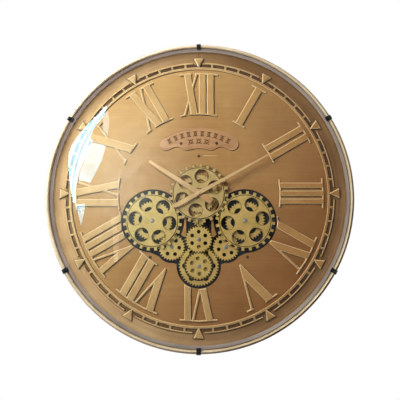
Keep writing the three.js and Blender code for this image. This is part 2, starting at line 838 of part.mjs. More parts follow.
function gearTray() {
  const rim = dialBack - seatGap;
  const seats = [idler, centre, lower, leftSide, rightSide, left, right];
  const bored = arborRadius + runGap;
  const screwHole = screwShankRadius + seatGap;
  const bossBack = trayBack - bossDepth;
  const shell = cut(plate(trayOutline(trayWall), trayBack, rim), [
    plate(trayOutline(0), trayFront, rim + 1),
  ]);
  const posts = trayScrews.map(([x, y]) =>
    disc(2 * screwHeadRadius, trayFront - 1, rim, sides.post, x, y));
  const bosses = seats.map(({ x, y }) =>
    disc(bossRadius, bossBack, trayBack + 1, sides.post, x, y));
  const bores = [...seats, motorPinion].map(({ x, y }) =>
    disc(bored, bossBack + trayFloor - seatGap, rim, sides.bore, x, y));
  return cut(union([shell, ...posts, ...bosses]), [
    ...bores,
    disc(bushRadius + seatGap, trayBack - 1, rim, sides.bush),
    ...trayScrews.map(([x, y]) => disc(screwHole, trayFront, rim + 1, sides.post, x, y)),
  ]);
}

// A hand's outline pointing up, from its tail to its tip
function handOutline(tail, tailWidth, width, length, endWidth, waist = 0) {
  return [
    point(-tailWidth / 2, -tail),
    point(tailWidth / 2, -tail),
    point(width / 2, waist),
    point(endWidth / 2, length),
    point(-endWidth / 2, length),
    point(-width / 2, waist),
  ];
}

// A flat hand whose face is folded to a ridge along the middle
function ridged(outline, back, front, tail, length, width) {
  const roof = new THREE.Shape([point(-width, 0), point(width, 0), point(0, 2 * (front - back))]);
  const run = { depth: tail + length, bevelEnabled: false };
  const wedge = new THREE.ExtrudeGeometry(roof, run).rotateX(Math.PI / 2);
  const tent = solid(wedge.translate(0, length, back));
  return plate(outline, back, front).intersect(tent);
}

function housing() {
  const corner = housingCorner;
  const outline = (shrink) => hull([
    [-housingHalfWidth + corner, housingBottom + corner, corner - shrink],
    [housingHalfWidth - corner, housingBottom + corner, corner - shrink],
    [-housingHalfWidth + corner, housingTop - corner, corner - shrink],
    [housingHalfWidth - corner, housingTop - corner, corner - shrink],
  ], sides.bush);
  const shell = cut(plate(outline(0), 0, housingFront), [
    plate(outline(housingWall), housingWall, housingFront + 1),
  ]);
  const wall = bayWall;
  const bayShell = box(bayLeft - wall, bayRight + wall, bayBottom - wall, bayTop + wall,
    0, bayFloor + wall);
  const slotHalf = (sliderSize[0] + switchTravel) / 2 + runGap;
  const slotRise = sliderSize[1] / 2 + runGap;
  const pinRoom = hingePinRadius + 2 * runGap;
  const pinReach = hingePinLength + runGap;
  return cut(shell.add(bayShell), [
    box(bayLeft, bayRight, bayBottom, bayTop, -1, bayFloor),
    box(bayLeft - doorMargin, bayRight + doorMargin, bayBottom - doorMargin, bayTop + doorMargin,
      -1, doorSheet + seatGap),
    box(bayLeft - doorMargin - pinReach, bayRight + doorMargin + pinReach,
      hingeY - pinRoom, hingeY + pinRoom, -1, hingeZ + pinRoom),
    disc(knobRadius + 2 * runGap, -1, housingWall + 1, sides.pocket, ...knobCentre),
    box(switchAcross - slotHalf, switchAcross + slotHalf,
      switchHeight - slotRise, switchHeight + slotRise, -1, housingWall + 1),
  ]);
}

const switchAcross = switchInset - housingHalfWidth;
const bayWidth = cellCount * cellPitch + 2 * seatGap;
const bayLeft = bayMiddle - bayWidth / 2;
const bayRight = bayMiddle + bayWidth / 2;
const bayBottom = bayTop - cellLength - 2 * seatGap;
const cellBack = doorSheet + 2 * seatGap;
const bayFloor = cellBack + 2 * cellRadius + seatGap;
const hingeY = bayTop + doorMargin - hingePinRadius - 2 * runGap;
const hingeZ = doorSheet / 2 + seatGap / 2;

function batteryDoor() {
  const edge = doorMargin - runGap;
  const back = seatGap / 2;
  const leaf = box(bayLeft - edge, bayRight + edge, bayBottom - edge, hingeY + hingePinRadius,
    back, back + doorSheet);
  const reach = edge + hingePinLength;
  const rod = new THREE.CylinderGeometry(
    hingePinRadius, hingePinRadius, bayWidth + 2 * reach, sides.bore);
  rod.rotateZ(Math.PI / 2).translate(bayMiddle, hingeY, hingeZ);
  return leaf.add(solid(rod));
}

// A round cell lying along y, with its button at the top
function cell(x) {
  const shoulder = cellLength - cellButtonHeight;
  const points = [
    point(0, 0),
    point(cellRadius, 0),
    point(cellRadius, shoulder),
    point(cellButtonRadius, shoulder),
    point(cellButtonRadius, cellLength),
    point(0, cellLength),
  ];
  const body = new THREE.LatheGeometry(points, sides.bore);
  body.translate(x, bayBottom + seatGap, cellBack + cellRadius);
  return solid(body);
}

// A knob with shallow flutes, and its shaft up to the movement
function settingKnob() {
  const back = seatGap;
  const outline = Array.from({ length: 2 * knobFlutes }, (_, k) =>
    polar(knobRadius - (k % 2) * fluteDepth, (Math.PI * k) / knobFlutes));
  const grip = plate(outline, back, back + knobHeight);
  const shaftFront = housingFront - movementDepth - seatGap;
  return grip.add(disc(arborRadius, back + 1, shaftFront, sides.bore));
}

function hangerPlate() {
  const back = rearLipSheet + seatGap;
  const front = back + hangerSheet;
  const corner = hangerCorner;
  const outline = hull([
    [-hangerHalfWidth + corner, hangerBottom + corner, corner],
    [hangerHalfWidth - corner, hangerBottom + corner, corner],
    [-hangerHalfWidth + corner, hangerTop - corner, corner],
    [hangerHalfWidth - corner, hangerTop - corner, corner],
  ], sides.bore);
  const slot = hull([
    [0, keyholeCentre, keySlotWidth / 2],
    [0, keyholeCentre + keySlotLength, keySlotWidth / 2],
  ], sides.bush);
  return cut(plate(outline, back, front), [
    disc(keyholeRadius, back - 1, front + 1, sides.bush, 0, keyholeCentre),
    plate(slot, back - 1, front + 1),
  ]);
}

// Case, dial and glass
piece('case_band', caseBand(), 'antiqueBrass');
piece('dial_pan', dialPan(), 'antiqueBrass');
piece('glass_gasket', gasket(), 'rubber');
piece('glass_dome', domedGlass(), 'glass');
for (let k = 0; k < clipCount; k += 1) {
  const turn = Math.PI / 2 - (2 * Math.PI * k) / clipCount;
  piece(`glass_clip_${k + 1}`, clip(), 'blackened', 0, 0, turn);
}
piece('chapter_ring', chapterRing(), 'paleBrass');
for (const item of numerals) {
  piece(`numeral_${item.text}`, numeral(item), 'paleBrass', 0, 0, -rad(30 * item.hour));
}

// Plaque and screws
piece('plaque', plaque(), 'copper');
const plaqueSeat = dialFront + seatGap + plaqueSheet + seatGap;
const plaqueScrewLength = plaqueSeat - dialBack + plaqueScrewBite;
plaqueScrews.forEach(([x, y], k) => {
  const name = `plaque_screw_${['left', 'right'][k]}`;
  piece(name, screw(plaqueSeat, plaqueScrewLength), 'darkSteel', x, y);
});
trayScrews.forEach(([x, y], k) => {
  const name = `dial_screw_${['top', 'left', 'right'][k]}`;
  piece(name, screw(dialFront + seatGap, trayDepth - trayFloor), 'darkSteel', x, y);
});

// Gear tray, and the gears on their arbors
piece('gear_tray', gearTray(), 'blackPlastic');
const cogBore = circle(0, 0, arborRadius + seatGap, sides.bore);
for (const [side, at] of Object.entries({ left, right })) {
  const windowPhase = rad(windowPhases[side]);
  const holes = windows(...fineWindow, sides.post, windowPhase - at.phase);
  const fine = union([gear(largeTeeth, rearPlane, holes), collar(rearPlane), arbor(cogFace)]);
  piece(`${side}_fine_gear`, fine, 'brightBrass', at.x, at.y, at.phase);
  const cog = cogWheel(frontPlane, rad(cogPhases[side]), windowPhase, cogBore);
  piece(`${side}_cog_wheel`, cog, 'brightBrass', at.x, at.y);
}
const smallHoles = windows(...smallWindow, sides.post);
for (const [side, at] of Object.entries({ left: leftSide, right: rightSide })) {
  const small = gear(smallTeeth, rearPlane, smallHoles);
  const body = small.add(arbor(rearPlane + gearThickness - seatGap));
  piece(`${side}_side_gear`, body, 'brightBrass', at.x, at.y, at.phase);
}
const frontGears = frontPlane + gearThickness;
const lowerHoles = windows(...lowerWindow, sides.post, Math.PI / windowCount);
const lowerBody = union([
  gear(largeTeeth, rearPlane, lowerHoles),
  collar(rearPlane),
  arbor(frontGears),
]);
piece('lower_fine_gear', lowerBody, 'brightBrass', lower.x, lower.y, lower.phase);
const smallFront = gear(smallTeeth, frontPlane, [...smallHoles, arborHole]);
piece('lower_front_gear', smallFront, 'brightBrass', lowerFront.x, lowerFront.y, lowerFront.phase);
piece('centre_gear', smallFront, 'brightBrass', centre.x, centre.y, centre.phase);
const driveBody = union([
  gear(driveWheelTeeth, drivePlane),
  collar(drivePlane),
  arbor(frontGears),
]);
piece('centre_drive_wheel', driveBody, 'brightBrass', centre.x, centre.y, driveWheel.phase);
const idlerHead = [frontPlane + 1, frontGears + arborHeadRise];
const idlerBody = union([
  gear(idlerTeeth, frontPlane),
  disc(arborRadius, trayFront - bossDepth, frontPlane + 1, sides.post),
  disc(arborHeadRadius, ...idlerHead, sides.bore),
]);
piece('idler_pinion', idlerBody, 'brightBrass', idler.x, idler.y, idler.phase);
const pinionBody = union([
  gear(motorPinionTeeth, drivePlane),
  disc(arborRadius, housingFront + seatGap, drivePlane + 1, sides.bore),
]);
const pinionTurn = motorPinion.phase;
piece('motor_pinion', pinionBody, 'blackPlastic', motorPinion.x, motorPinion.y, pinionTurn);

// Top gear on the movement's bush
const bushBore = circle(0, 0, bushRadius + runGap, sides.bush);
const topPhase = rad(windowPhases.top);
const topHoles = windows(...fineWindow, sides.post, topPhase - top.phase);
const topFine = gear(largeTeeth, frontPlane, [...topHoles, bushBore]);
const hub = plate(circle(0, 0, hubRadius, sides.bush), frontPlane + 1, hubFront, [bushBore]);
piece('top_fine_gear', topFine.add(hub), 'brightBrass', top.x, top.y, top.phase);
const hubBore = circle(0, 0, hubRadius + seatGap, sides.bush);
piece('top_cog_wheel', cogWheel(topCogPlane, rad(cogPhases.top), topPhase, hubBore), 'brightBrass');

// Bush and nut
const bushBack = housingFront + seatGap;
const nutFront = nutBack + nutHeight;
const pipeBore = circle(0, 0, pipeRadius + runGap, sides.bush);
piece('hand_bush', plate(circle(0, 0, bushRadius, sides.bush), bushBack, nutFront, [pipeBore]), 'steel');
const nutBore = circle(0, 0, bushRadius + seatGap, sides.bush);
const nutOutline = circle(0, 0, nutAcross / Math.sqrt(3), 6);
piece('bush_nut', plate(nutOutline, nutBack, nutFront, [nutBore]), 'steel');

// Hour hand on its pipe
const hourOutline = handOutline(hourTail, hourTailWidth, hourWidth, hourLength, hourTipWidth);
const hourFront = hourPlane + handSheet;
const pipe = disc(pipeRadius, bushBack, hourFront, sides.bush);
const hourBody = cut(plate(hourOutline, hourPlane, hourFront).add(pipe), [
  disc(minuteArborRadius + runGap, bushBack - 1, hourFront + 1, sides.bush),
]);
piece('hour_hand', hourBody, 'handTan', 0, 0, -rad(hourAngle));

// Minute hand, and its arbor with the cap at the pivot
const minuteFront = minutePlane + handSheet;
const capBack = minuteFront + seatGap;
const arborBody = disc(minuteArborRadius, bushBack, capBack + 1, sides.bush);
const capBody = disc(handCapRadius, capBack, capBack + handCapHeight, sides.bush);
piece('minute_arbor', arborBody.add(capBody), 'handTan');
const minuteOutline = handOutline(minuteTail, minuteTailWidth, minuteWidth, minuteLength,
  minuteTipWidth, -minuteWaist);
const minuteBlank = ridged(minuteOutline, minutePlane, minuteFront, minuteTail, minuteLength,
  minuteWidth);
const minuteBody = cut(minuteBlank, [
  disc(minuteArborRadius + seatGap, minutePlane - 1, minuteFront + 1, sides.bush),
]);
piece('minute_hand', minuteBody, 'handTan', 0, 0, -rad(minuteAngle));

// Movement and motor
const half = movementSize / 2;
const movementBack = housingFront - movementDepth;
const movementBody = box(-half, half, -half, half, movementBack, housingFront);
piece('quartz_movement', movementBody, 'blackPlastic');
const gearboxBack = housingFront - gearboxDepth;
const motorBody = union([
  disc(gearboxRadius, gearboxBack, housingFront, sides.bush),
  disc(motorRadius, gearboxBack - motorDepth, housingFront - 1, sides.bush),
]);
piece('gear_motor', motorBody, 'steel', motorPinion.x, motorPinion.y);

// Rear housing and what it holds
piece('rear_housing', housing(), 'blackPlastic');
piece('battery_door', batteryDoor(), 'blackPlastic');
for (let k = 0; k < cellCount; k += 1) {
  const x = bayMiddle + (k - (cellCount - 1) / 2) * cellPitch;
  piece(`battery_cell_${k + 1}`, cell(x), 'cell');
}
piece('setting_knob', settingKnob(), 'blackPlastic', ...knobCentre);
const centredBox = ([wide, tall], back, front) =>
  box(-wide / 2, wide / 2, -tall / 2, tall / 2, back, front);
const sliderBody = centredBox(sliderSize, seatGap, housingWall - seatGap);
piece('switch_slider', sliderBody, 'steel', switchAcross - switchTravel / 2, switchHeight);
const switchBack = housingWall + seatGap;
const switchBody = centredBox(switchSize, switchBack, switchBack + switchDepth);
piece('switch_body', switchBody, 'blackPlastic', switchAcross, switchHeight);
piece('hanger_plate', hangerPlate(), 'steel');

clock.rotation.x = Math.PI / 2;
clock.name = 'wall_clock';

export default clock;
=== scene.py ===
import json
import math

import bmesh
import bpy
from mathutils import Matrix, Vector

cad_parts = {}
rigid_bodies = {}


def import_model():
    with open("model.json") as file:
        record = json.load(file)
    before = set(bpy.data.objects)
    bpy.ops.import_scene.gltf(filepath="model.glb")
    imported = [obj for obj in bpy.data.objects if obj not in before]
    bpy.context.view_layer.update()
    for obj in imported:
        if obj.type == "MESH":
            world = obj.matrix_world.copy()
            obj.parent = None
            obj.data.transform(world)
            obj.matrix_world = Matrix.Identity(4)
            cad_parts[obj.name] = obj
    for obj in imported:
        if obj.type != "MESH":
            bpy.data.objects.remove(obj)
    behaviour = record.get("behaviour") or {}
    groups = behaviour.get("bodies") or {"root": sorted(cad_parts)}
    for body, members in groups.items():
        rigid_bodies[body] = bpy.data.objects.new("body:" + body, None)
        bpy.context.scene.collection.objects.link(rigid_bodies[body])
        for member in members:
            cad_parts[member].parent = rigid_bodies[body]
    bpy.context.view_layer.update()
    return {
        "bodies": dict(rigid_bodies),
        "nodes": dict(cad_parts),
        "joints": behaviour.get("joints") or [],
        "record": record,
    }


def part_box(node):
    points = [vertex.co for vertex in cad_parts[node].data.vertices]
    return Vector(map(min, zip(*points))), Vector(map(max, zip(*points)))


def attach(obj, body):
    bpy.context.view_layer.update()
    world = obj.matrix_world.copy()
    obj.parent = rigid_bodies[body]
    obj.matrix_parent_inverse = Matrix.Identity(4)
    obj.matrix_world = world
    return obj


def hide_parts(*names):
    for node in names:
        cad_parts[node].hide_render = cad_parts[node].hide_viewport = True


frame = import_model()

# Looks of a round wall clock: lacquered brass case, domed glass, raised numerals, open gear train.
# Sizes are in millimetres, face-on: across to the right, up, and out from the wall.

mm = 0.001
deg = math.pi / 180


def at(across, up, out):
    return Vector((across, -out, up)) * mm


def polar(radius, angle):
    return Vector((radius * math.cos(angle), radius * math.sin(angle)))


# Camera, light and background

cameraSettings = {
    "place": (0.026975, -1.0, -0.062262),
    "turn": (97.593, 0.0, 1.464),  # degrees
    "lens": 44.327,
    "sensor": 36.0,
    "shiftUp": -0.1,
}
keySettings = {"place": (-0.52, -0.75, 0.40), "size": 0.5, "power": 12.2, "colour": (1.0, 0.985, 0.96)}
fillSettings = {"place": (0.7, -1.5, 0.9), "size": 1.2, "power": 1.9, "colour": (1.0, 0.96, 0.9)}
backdropSettings = {
    "ambient": 0.22, "floorHeight": -1.25, "floorSize": 6.0, "floorColour": (0.82, 0.82, 0.82),
}

# A dim room that the glass mirrors in place of the white background
roomSettings = {
    "wall": -2.05, "side": 2.6, "top": 9.0, "foot": -0.7, "near": -0.7, "low": -1.2,
    "glow": 0.12, "colour": (1.0, 0.95, 0.9),
}

# The window that the glass mirrors: panes in one plane, each with its strength, colour and outline
windowSettings = {
    "centre": (-1.162, -1.310, 0.383), "aside": (0.799, -0.602, 0.0), "down": (-0.125, -0.166, -0.978),
    "cool": (0.42, 0.78, 1.0), "warm": (0.80, 0.75, 0.60),
    "panes": [
        (12.0, "cool", [(0.101, -0.645), (0.037, -0.534), (-0.047, -0.417), (-0.123, -0.307),
                        (-0.188, -0.182), (-0.2, -0.081), (-0.182, 0.077), (-0.155, 0.216),
                        (-0.115, 0.387), (-0.082, 0.387), (-0.092, 0.256), (-0.067, 0.076),
                        (-0.019, -0.066), (0.021, -0.17), (0.041, -0.243), (0.002, -0.283),
                        (0.027, -0.38), (0.099, -0.507), (0.12, -0.612)]),
        (9.0, "cool", [(0.043, -0.233), (0.19, -0.201), (0.167, -0.054), (0.116, 0.071), (0.061, 0.184),
                      (-0.005, 0.165), (-0.07, 0.166), (-0.05, 0.035), (-0.003, -0.107)]),
        (4.0, "cool", [(0.081, -0.584), (0.141, -0.569), (0.176, -0.459), (0.194, -0.308), (0.134, -0.335),
                      (0.111, -0.453)]),
        (8.0, "cool", [(-0.093, 0.397), (0.017, 0.399), (0.007, 0.503), (-0.028, 0.619), (-0.059, 0.501)]),
        (2.4, "warm", [(0.31, 0.532), (0.367, 0.534), (0.405, 0.812), (0.387, 1.085), (0.338, 1.08),
                       (0.334, 0.806)]),
        (2.0, "warm", [(0.153, 0.255), (0.186, 0.255), (0.164, 0.55), (0.13, 0.549)]),
    ],
    "haze": {
        "power": 3.0, "middle": (-1.15, -2.03, 0.35), "reach": (1.45, 1.6), "colour": (0.96, 0.98, 0.86),
    },
}


def node(tree, kind, inputs=None, **settings):
    made = tree.nodes.new(kind)
    for name, value in settings.items():
        setattr(made, name, value)
    for name, value in (inputs or {}).items():
        if isinstance(value, bpy.types.NodeSocket):
            tree.links.new(value, made.inputs[name])
        else:
            made.inputs[name].default_value = value
    return made


def maths(tree, operation, *values, **settings):
    return node(tree, "ShaderNodeMath", dict(enumerate(values)), operation=operation, **settings).outputs[0]


def vectorMaths(tree, operation, *values):
    return node(tree, "ShaderNodeVectorMath", dict(enumerate(values)), operation=operation).outputs[0]


def noise(tree, vector, scale, **inputs):
    return node(tree, "ShaderNodeTexNoise", {"Vector": vector, "Scale": scale, **inputs}).outputs[0]


def mappedRange(tree, value, start, end):
    return node(tree, "ShaderNodeMapRange", {
        "Value": value, "From Min": start[0], "From Max": start[1], "To Min": end[0], "To Max": end[1],
    }).outputs[0]


def linkObject(name, data):
    made = bpy.data.objects.new(name, data)
    bpy.context.scene.collection.objects.link(made)
    return made


def makeCamera(s):
    data = bpy.data.cameras.new("camera")
    data.sensor_width = s["sensor"]
    data.lens = s["lens"]
    data.shift_y = s["shiftUp"]
    camera = linkObject("camera", data)
    camera.location = s["place"]
    camera.rotation_euler = [angle * deg for angle in s["turn"]]
    bpy.context.scene.camera = camera


# The glass mirrors the window panes below, so the lamps stay out of it
def makeLamp(name, s):
    data = bpy.data.lights.new(name, "AREA")
    data.shape = "SQUARE"
    data.size = s["size"]
    data.energy = s["power"]
    data.color = s["colour"]
    lamp = linkObject(name, data)
    lamp.location = s["place"]
    lamp.rotation_euler = (-lamp.location).to_track_quat("-Z", "Y").to_euler()
    lamp.visible_glossy = lamp.visible_transmission = False


# Glow that only mirrors show; with a reach it fades out towards its edge
def makePane(name, power, colour, corners, middle=None, reach=None):
    mesh = bpy.data.meshes.new(name)
    mesh.from_pydata(corners, [], [tuple(range(len(corners)))])
    pane = linkObject(name, mesh)
    material = bpy.data.materials.new(name)
    material.use_nodes = True
    tree = material.node_tree
    tree.nodes.clear()
    place = node(tree, "ShaderNodeTexCoord").outputs["Object"]
    cloud = noise(tree, place, 7.0, Detail=3.0)
    level = mappedRange(tree, cloud, (0.3, 0.7), (power * 0.75, power * 1.25))
    if reach:
        nearness = node(tree, "ShaderNodeMapping", {"Vector": place, "Location": middle, "Scale": reach},
                        vector_type="TEXTURE")
        fade = node(tree, "ShaderNodeTexGradient", {"Vector": nearness.outputs[0]},
                    gradient_type="QUADRATIC_SPHERE")
        level = maths(tree, "MULTIPLY", level, fade.outputs["Fac"])
    glow = node(tree, "ShaderNodeEmission", {"Color": (*colour, 1), "Strength": level})
    node(tree, "ShaderNodeOutputMaterial", {"Surface": glow.outputs[0]})
    mesh.materials.append(material)
    pane.visible_camera = pane.visible_diffuse = pane.visible_shadow = False


def makeRoom(s):
    wide, wall, foot = s["side"], s["wall"], s["foot"]
    for name, (y0, z0), (y1, z1) in (("roomWall", (wall, foot), (wall, s["top"])),
                                     ("roomFoot", (s["near"], s["low"]), (wall, foot))):
        corners = [(-wide, y0, z0), (wide, y0, z0), (wide, y1, z1), (-wide, y1, z1)]
        makePane(name, s["glow"], s["colour"], corners)


def makeWindow(s):
    centre, aside, down = (Vector(s[key]) for key in ("centre", "aside", "down"))
    for number, (power, colour, outline) in enumerate(s["panes"]):
        corners = [centre + aside * a + down * b for a, b in outline]
        makePane(f"windowPane{number}", power, s[colour], corners)
    haze = s["haze"]
    middle = Vector(haze["middle"])
    wide, tall = haze["reach"]
    corners = [middle + Vector((a * wide, 0, b * tall)) for a, b in ((-1, -1), (1, -1), (1, 1), (-1, 1))]
    makePane("haze", haze["power"], haze["colour"], corners, middle, (wide, wide, tall))


def addedUp(tree, sockets):
    total = sockets[0]
    for socket in sockets[1:]:
        total = maths(tree, "ADD", total, socket, use_clamp=True)
    return total


# A white background for the camera and for what metal and glass show, from colour and not from light
def whiteWhereSeen(tree, surface, kind, output):
    path = node(tree, "ShaderNodeLightPath")
    seen = addedUp(tree, [path.outputs[f"Is {ray} Ray"] for ray in ("Camera", "Glossy", "Transmission")])
    white = node(tree, kind, {"Color": (1, 1, 1, 1), "Strength": 1.0})
    mixed = node(tree, "ShaderNodeMixShader", {0: seen, 1: surface.outputs[0], 2: white.outputs[0]})
    node(tree, output, {"Surface": mixed.outputs[0]})


def makeBackdrop(s):
    world = bpy.data.worlds.new("backdrop")
    bpy.context.scene.world = world
    world.use_nodes = True
    tree = world.node_tree
    tree.nodes.clear()
    ambient = node(tree, "ShaderNodeBackground", {"Color": (1, 1, 1, 1), "Strength": s["ambient"]})
    whiteWhereSeen(tree, ambient, "ShaderNodeBackground", "ShaderNodeOutputWorld")

    half = s["floorSize"] / 2
    mesh = bpy.data.meshes.new("floor")
    corners = [(-half, -half), (half, -half), (half, half), (-half, half)]
    mesh.from_pydata([(x, y, s["floorHeight"]) for x, y in corners], [], [(0, 1, 2, 3)])
    floor = linkObject("floor", mesh)
    material = bpy.data.materials.new("paleFloor")
    material.use_nodes = True
    tree = material.node_tree
    tree.nodes.clear()
    matt = node(tree, "ShaderNodeBsdfDiffuse", {"Color": (*s["floorColour"], 1)})
    whiteWhereSeen(tree, matt, "ShaderNodeEmission", "ShaderNodeOutputMaterial")
    mesh.materials.append(material)


bpy.context.scene.view_settings.view_transform = "Standard"
makeCamera(cameraSettings)
makeLamp("key", keySettings)
makeLamp("fill", fillSettings)
makeRoom(roomSettings)
makeWindow(windowSettings)
makeBackdrop(backdropSettings)
print("camera, light and background made")


# Finishes: colours are linear, and what a finish leaves out it takes from the defaults

finishDefaults = {
    "lay": "cast",  # how the metal was worked: cast, across or spun
    "metallic": 0.1, "roughness": 0.45, "specular": 0.25,
    "grain": 0.3, "bump": 0.1,  # the lines' share in the tone, and how far they stand out
    "axis": (0.8, -0.6), "span": (-1.0, 1.0),  # where the painted light and shade runs, in shares of its reach
}
paintedLightReach = 0.27
patternSettings = {
    "cloudDetail": 5.0, "cloudRoughness": 0.62, "lineDetail": 4.0, "lineRoughness": 0.6,
    "ramp": (0.33, 0.67), "sheenSpread": 0.07, "bumpDistance": 0.0004,
}

# Fine is the scale of the lines, long their scale along the lay, cloud the scale of the mottling,
# and the tint at the two ends of the span is painted light and shade that changes across the face
finishSettings = {
    "dialGold": {
        "dark": (0.4, 0.21, 0.074), "light": (0.545, 0.312, 0.118), "lay": "across", "long": 9,
        "fine": 240, "cloud": 9, "fall": ((1.1, 1.23, 1.28), (0.54, 0.37, 0.24)),
    },
    "spunGold": {
        "dark": (0.33, 0.185, 0.072), "light": (0.5, 0.315, 0.135), "metallic": 0.15, "roughness": 0.42,
        "lay": "spun", "long": 1.4, "fine": 330, "cloud": 14, "grain": 0.4, "bump": 0.12,
        "fall": ((1.45, 1.6, 1.95), (0.51, 0.43, 0.41)), "axis": (1.0, 0.09), "span": (-1.0, 0.4),
        "specular": 0.1,
    },
    "beadGold": {
        "dark": (0.72, 0.52, 0.29), "light": (0.95, 0.76, 0.48), "metallic": 0.2, "roughness": 0.28,
        "lay": "spun", "long": 2.0, "fine": 500, "cloud": 20, "grain": 0.2, "bump": 0.06,
        "fall": ((1.1, 1.18, 1.3), (1.0, 1.05, 1.12)),
    },
    # The bead's outer flank: a copy of beadGold, with painted shade towards the lower right
    "beadShade": {
        "dark": (0.72, 0.52, 0.29), "light": (0.95, 0.76, 0.48), "roughness": 0.35, "lay": "spun",
        "long": 2.0, "fine": 500, "cloud": 20, "bump": 0.06,
        "fall": ((1.15, 1.22, 1.4), (0.1, 0.07, 0.045)),
    },
    # The groove beside the bead and the rim of the glass: painted shade, lighter towards the lower right
    "beadGroove": {
        "dark": (0.1, 0.085, 0.07), "light": (0.2, 0.17, 0.14), "metallic": 0.0, "roughness": 0.5,
        "lay": "spun", "long": 2.0, "fine": 500, "cloud": 20, "bump": 0.06,
        "fall": ((0.25, 0.25, 0.25), (1.7, 1.75, 1.75)), "specular": 0.1,
    },
    "reliefGold": {
        "dark": (0.5, 0.29, 0.108), "light": (0.65, 0.42, 0.17), "roughness": 0.42, "fine": 260,
        "cloud": 22, "grain": 0.22, "fall": ((1.03, 1.14, 1.28), (0.7, 0.53, 0.36)), "axis": (1.0, 0.0),
    },
    # Lighter sloping edges of raised work, painted highlight and wear; also the real scratch on the dial
    "wornGold": {
        "dark": (0.82, 0.62, 0.34), "light": (0.95, 0.8, 0.5), "metallic": 0.2, "roughness": 0.36,
        "fine": 300, "cloud": 30, "grain": 0.22, "bump": 0.08,
        "fall": ((1.02, 1.06, 1.08), (0.9, 0.78, 0.64)),
    },
    "gearBrass": {
        "dark": (0.44, 0.335, 0.105), "light": (0.72, 0.57, 0.22), "metallic": 0.18, "roughness": 0.38,
        "fine": 520, "cloud": 45, "grain": 0.45, "bump": 0.14,
        "fall": ((1.15, 1.22, 1.22), (0.78, 0.58, 0.42)),
    },
    "topBrass": {
        "dark": (0.37, 0.255, 0.092), "light": (0.6, 0.43, 0.18), "metallic": 0.18, "roughness": 0.38,
        "fine": 520, "cloud": 45, "grain": 0.45, "bump": 0.14,
    },
    # Painted shade: the gears' sloping edges, the dark rings round the cog discs and under the lower front
    # gear, and the drive wheel behind the centre gear
    "brassShade": {
        "dark": (0.035, 0.024, 0.01), "light": (0.12, 0.085, 0.032), "metallic": 0.2, "roughness": 0.5,
        "fine": 420, "cloud": 45, "grain": 0.35,
    },
    "plaqueCopper": {
        "dark": (0.405, 0.208, 0.092), "light": (0.505, 0.285, 0.135), "metallic": 0.12, "fine": 300,
        "cloud": 40, "grain": 0.25,
    },
    "markBrown": {
        "dark": (0.09, 0.04, 0.018), "light": (0.2, 0.1, 0.045), "roughness": 0.5, "fine": 400,
        "cloud": 60,
    },
    # Painted shade in the cells of the minute ladder, lighter towards the left
    "cellShadeBrown": {
        "dark": (0.05, 0.026, 0.011), "light": (0.115, 0.062, 0.028), "metallic": 0.0, "roughness": 0.6,
        "fine": 300, "cloud": 40, "grain": 0.4, "fall": ((2.7, 2.8, 2.5), (1.15, 1.0, 0.85)),
        "axis": (0.96, 0.28), "span": (-1.0, 0.0),
    },
    # A real seam on the cove, and the painted shadows round raised work
    "seamAndShadowDark": {
        "dark": (0.055, 0.026, 0.011), "light": (0.13, 0.066, 0.03), "roughness": 0.55, "fine": 400,
        "cloud": 60,
    },
    "handTan": {
        "dark": (0.52, 0.335, 0.155), "light": (0.65, 0.45, 0.225), "metallic": 0.12, "roughness": 0.42,
        "fine": 350, "cloud": 30, "grain": 0.15, "bump": 0.05,
    },
    "tailCopper": {
        "dark": (0.43, 0.235, 0.095), "light": (0.55, 0.33, 0.145), "metallic": 0.2, "roughness": 0.4,
        "fine": 350, "cloud": 50, "grain": 0.2, "bump": 0.06,
    },
    "plainSteel": {
        "dark": (0.26, 0.24, 0.22), "light": (0.48, 0.45, 0.42), "metallic": 0.6, "roughness": 0.32,
        "lay": "spun", "long": 3, "fine": 900, "cloud": 60, "grain": 0.35, "bump": 0.08,
    },
    "blackenedSteel": {
        "dark": (0.008, 0.008, 0.009), "light": (0.03, 0.029, 0.03), "metallic": 0.2, "fine": 500,
        "cloud": 90, "bump": 0.12,
    },
    "screwBronze": {
        "dark": (0.05, 0.03, 0.018), "light": (0.16, 0.1, 0.06), "metallic": 0.4, "roughness": 0.42,
        "fine": 700, "cloud": 120, "bump": 0.08,
    },
    "blackPlastic": {
        "dark": (0.012, 0.013, 0.016), "light": (0.032, 0.035, 0.041), "metallic": 0.0, "roughness": 0.52,
        "fine": 900, "cloud": 25, "grain": 0.35, "bump": 0.3,
    },
    "gasketRubber": {
        "dark": (0.1, 0.085, 0.09), "light": (0.17, 0.15, 0.16), "metallic": 0.0, "roughness": 0.6,
        "lay": "spun", "long": 3, "fine": 700, "cloud": 30, "bump": 0.15,
    },
    "cellJacket": {
        "dark": (0.02, 0.022, 0.03), "light": (0.05, 0.054, 0.07), "roughness": 0.28, "fine": 200,
        "cloud": 60, "grain": 0.2, "bump": 0.03,
    },
    # The ground edge of the glass, with painted reflection lighter towards the lower right
    "groundEdge": {
        "dark": (0.13, 0.102, 0.09), "light": (0.31, 0.25, 0.222), "metallic": 0.0, "roughness": 0.3,
        "lay": "spun", "long": 1.6, "fine": 420, "cloud": 8, "grain": 0.5, "bump": 0.08,
        "fall": ((0.74, 0.72, 0.72), (1.75, 1.85, 1.75)), "specular": 0.1,
    },
}


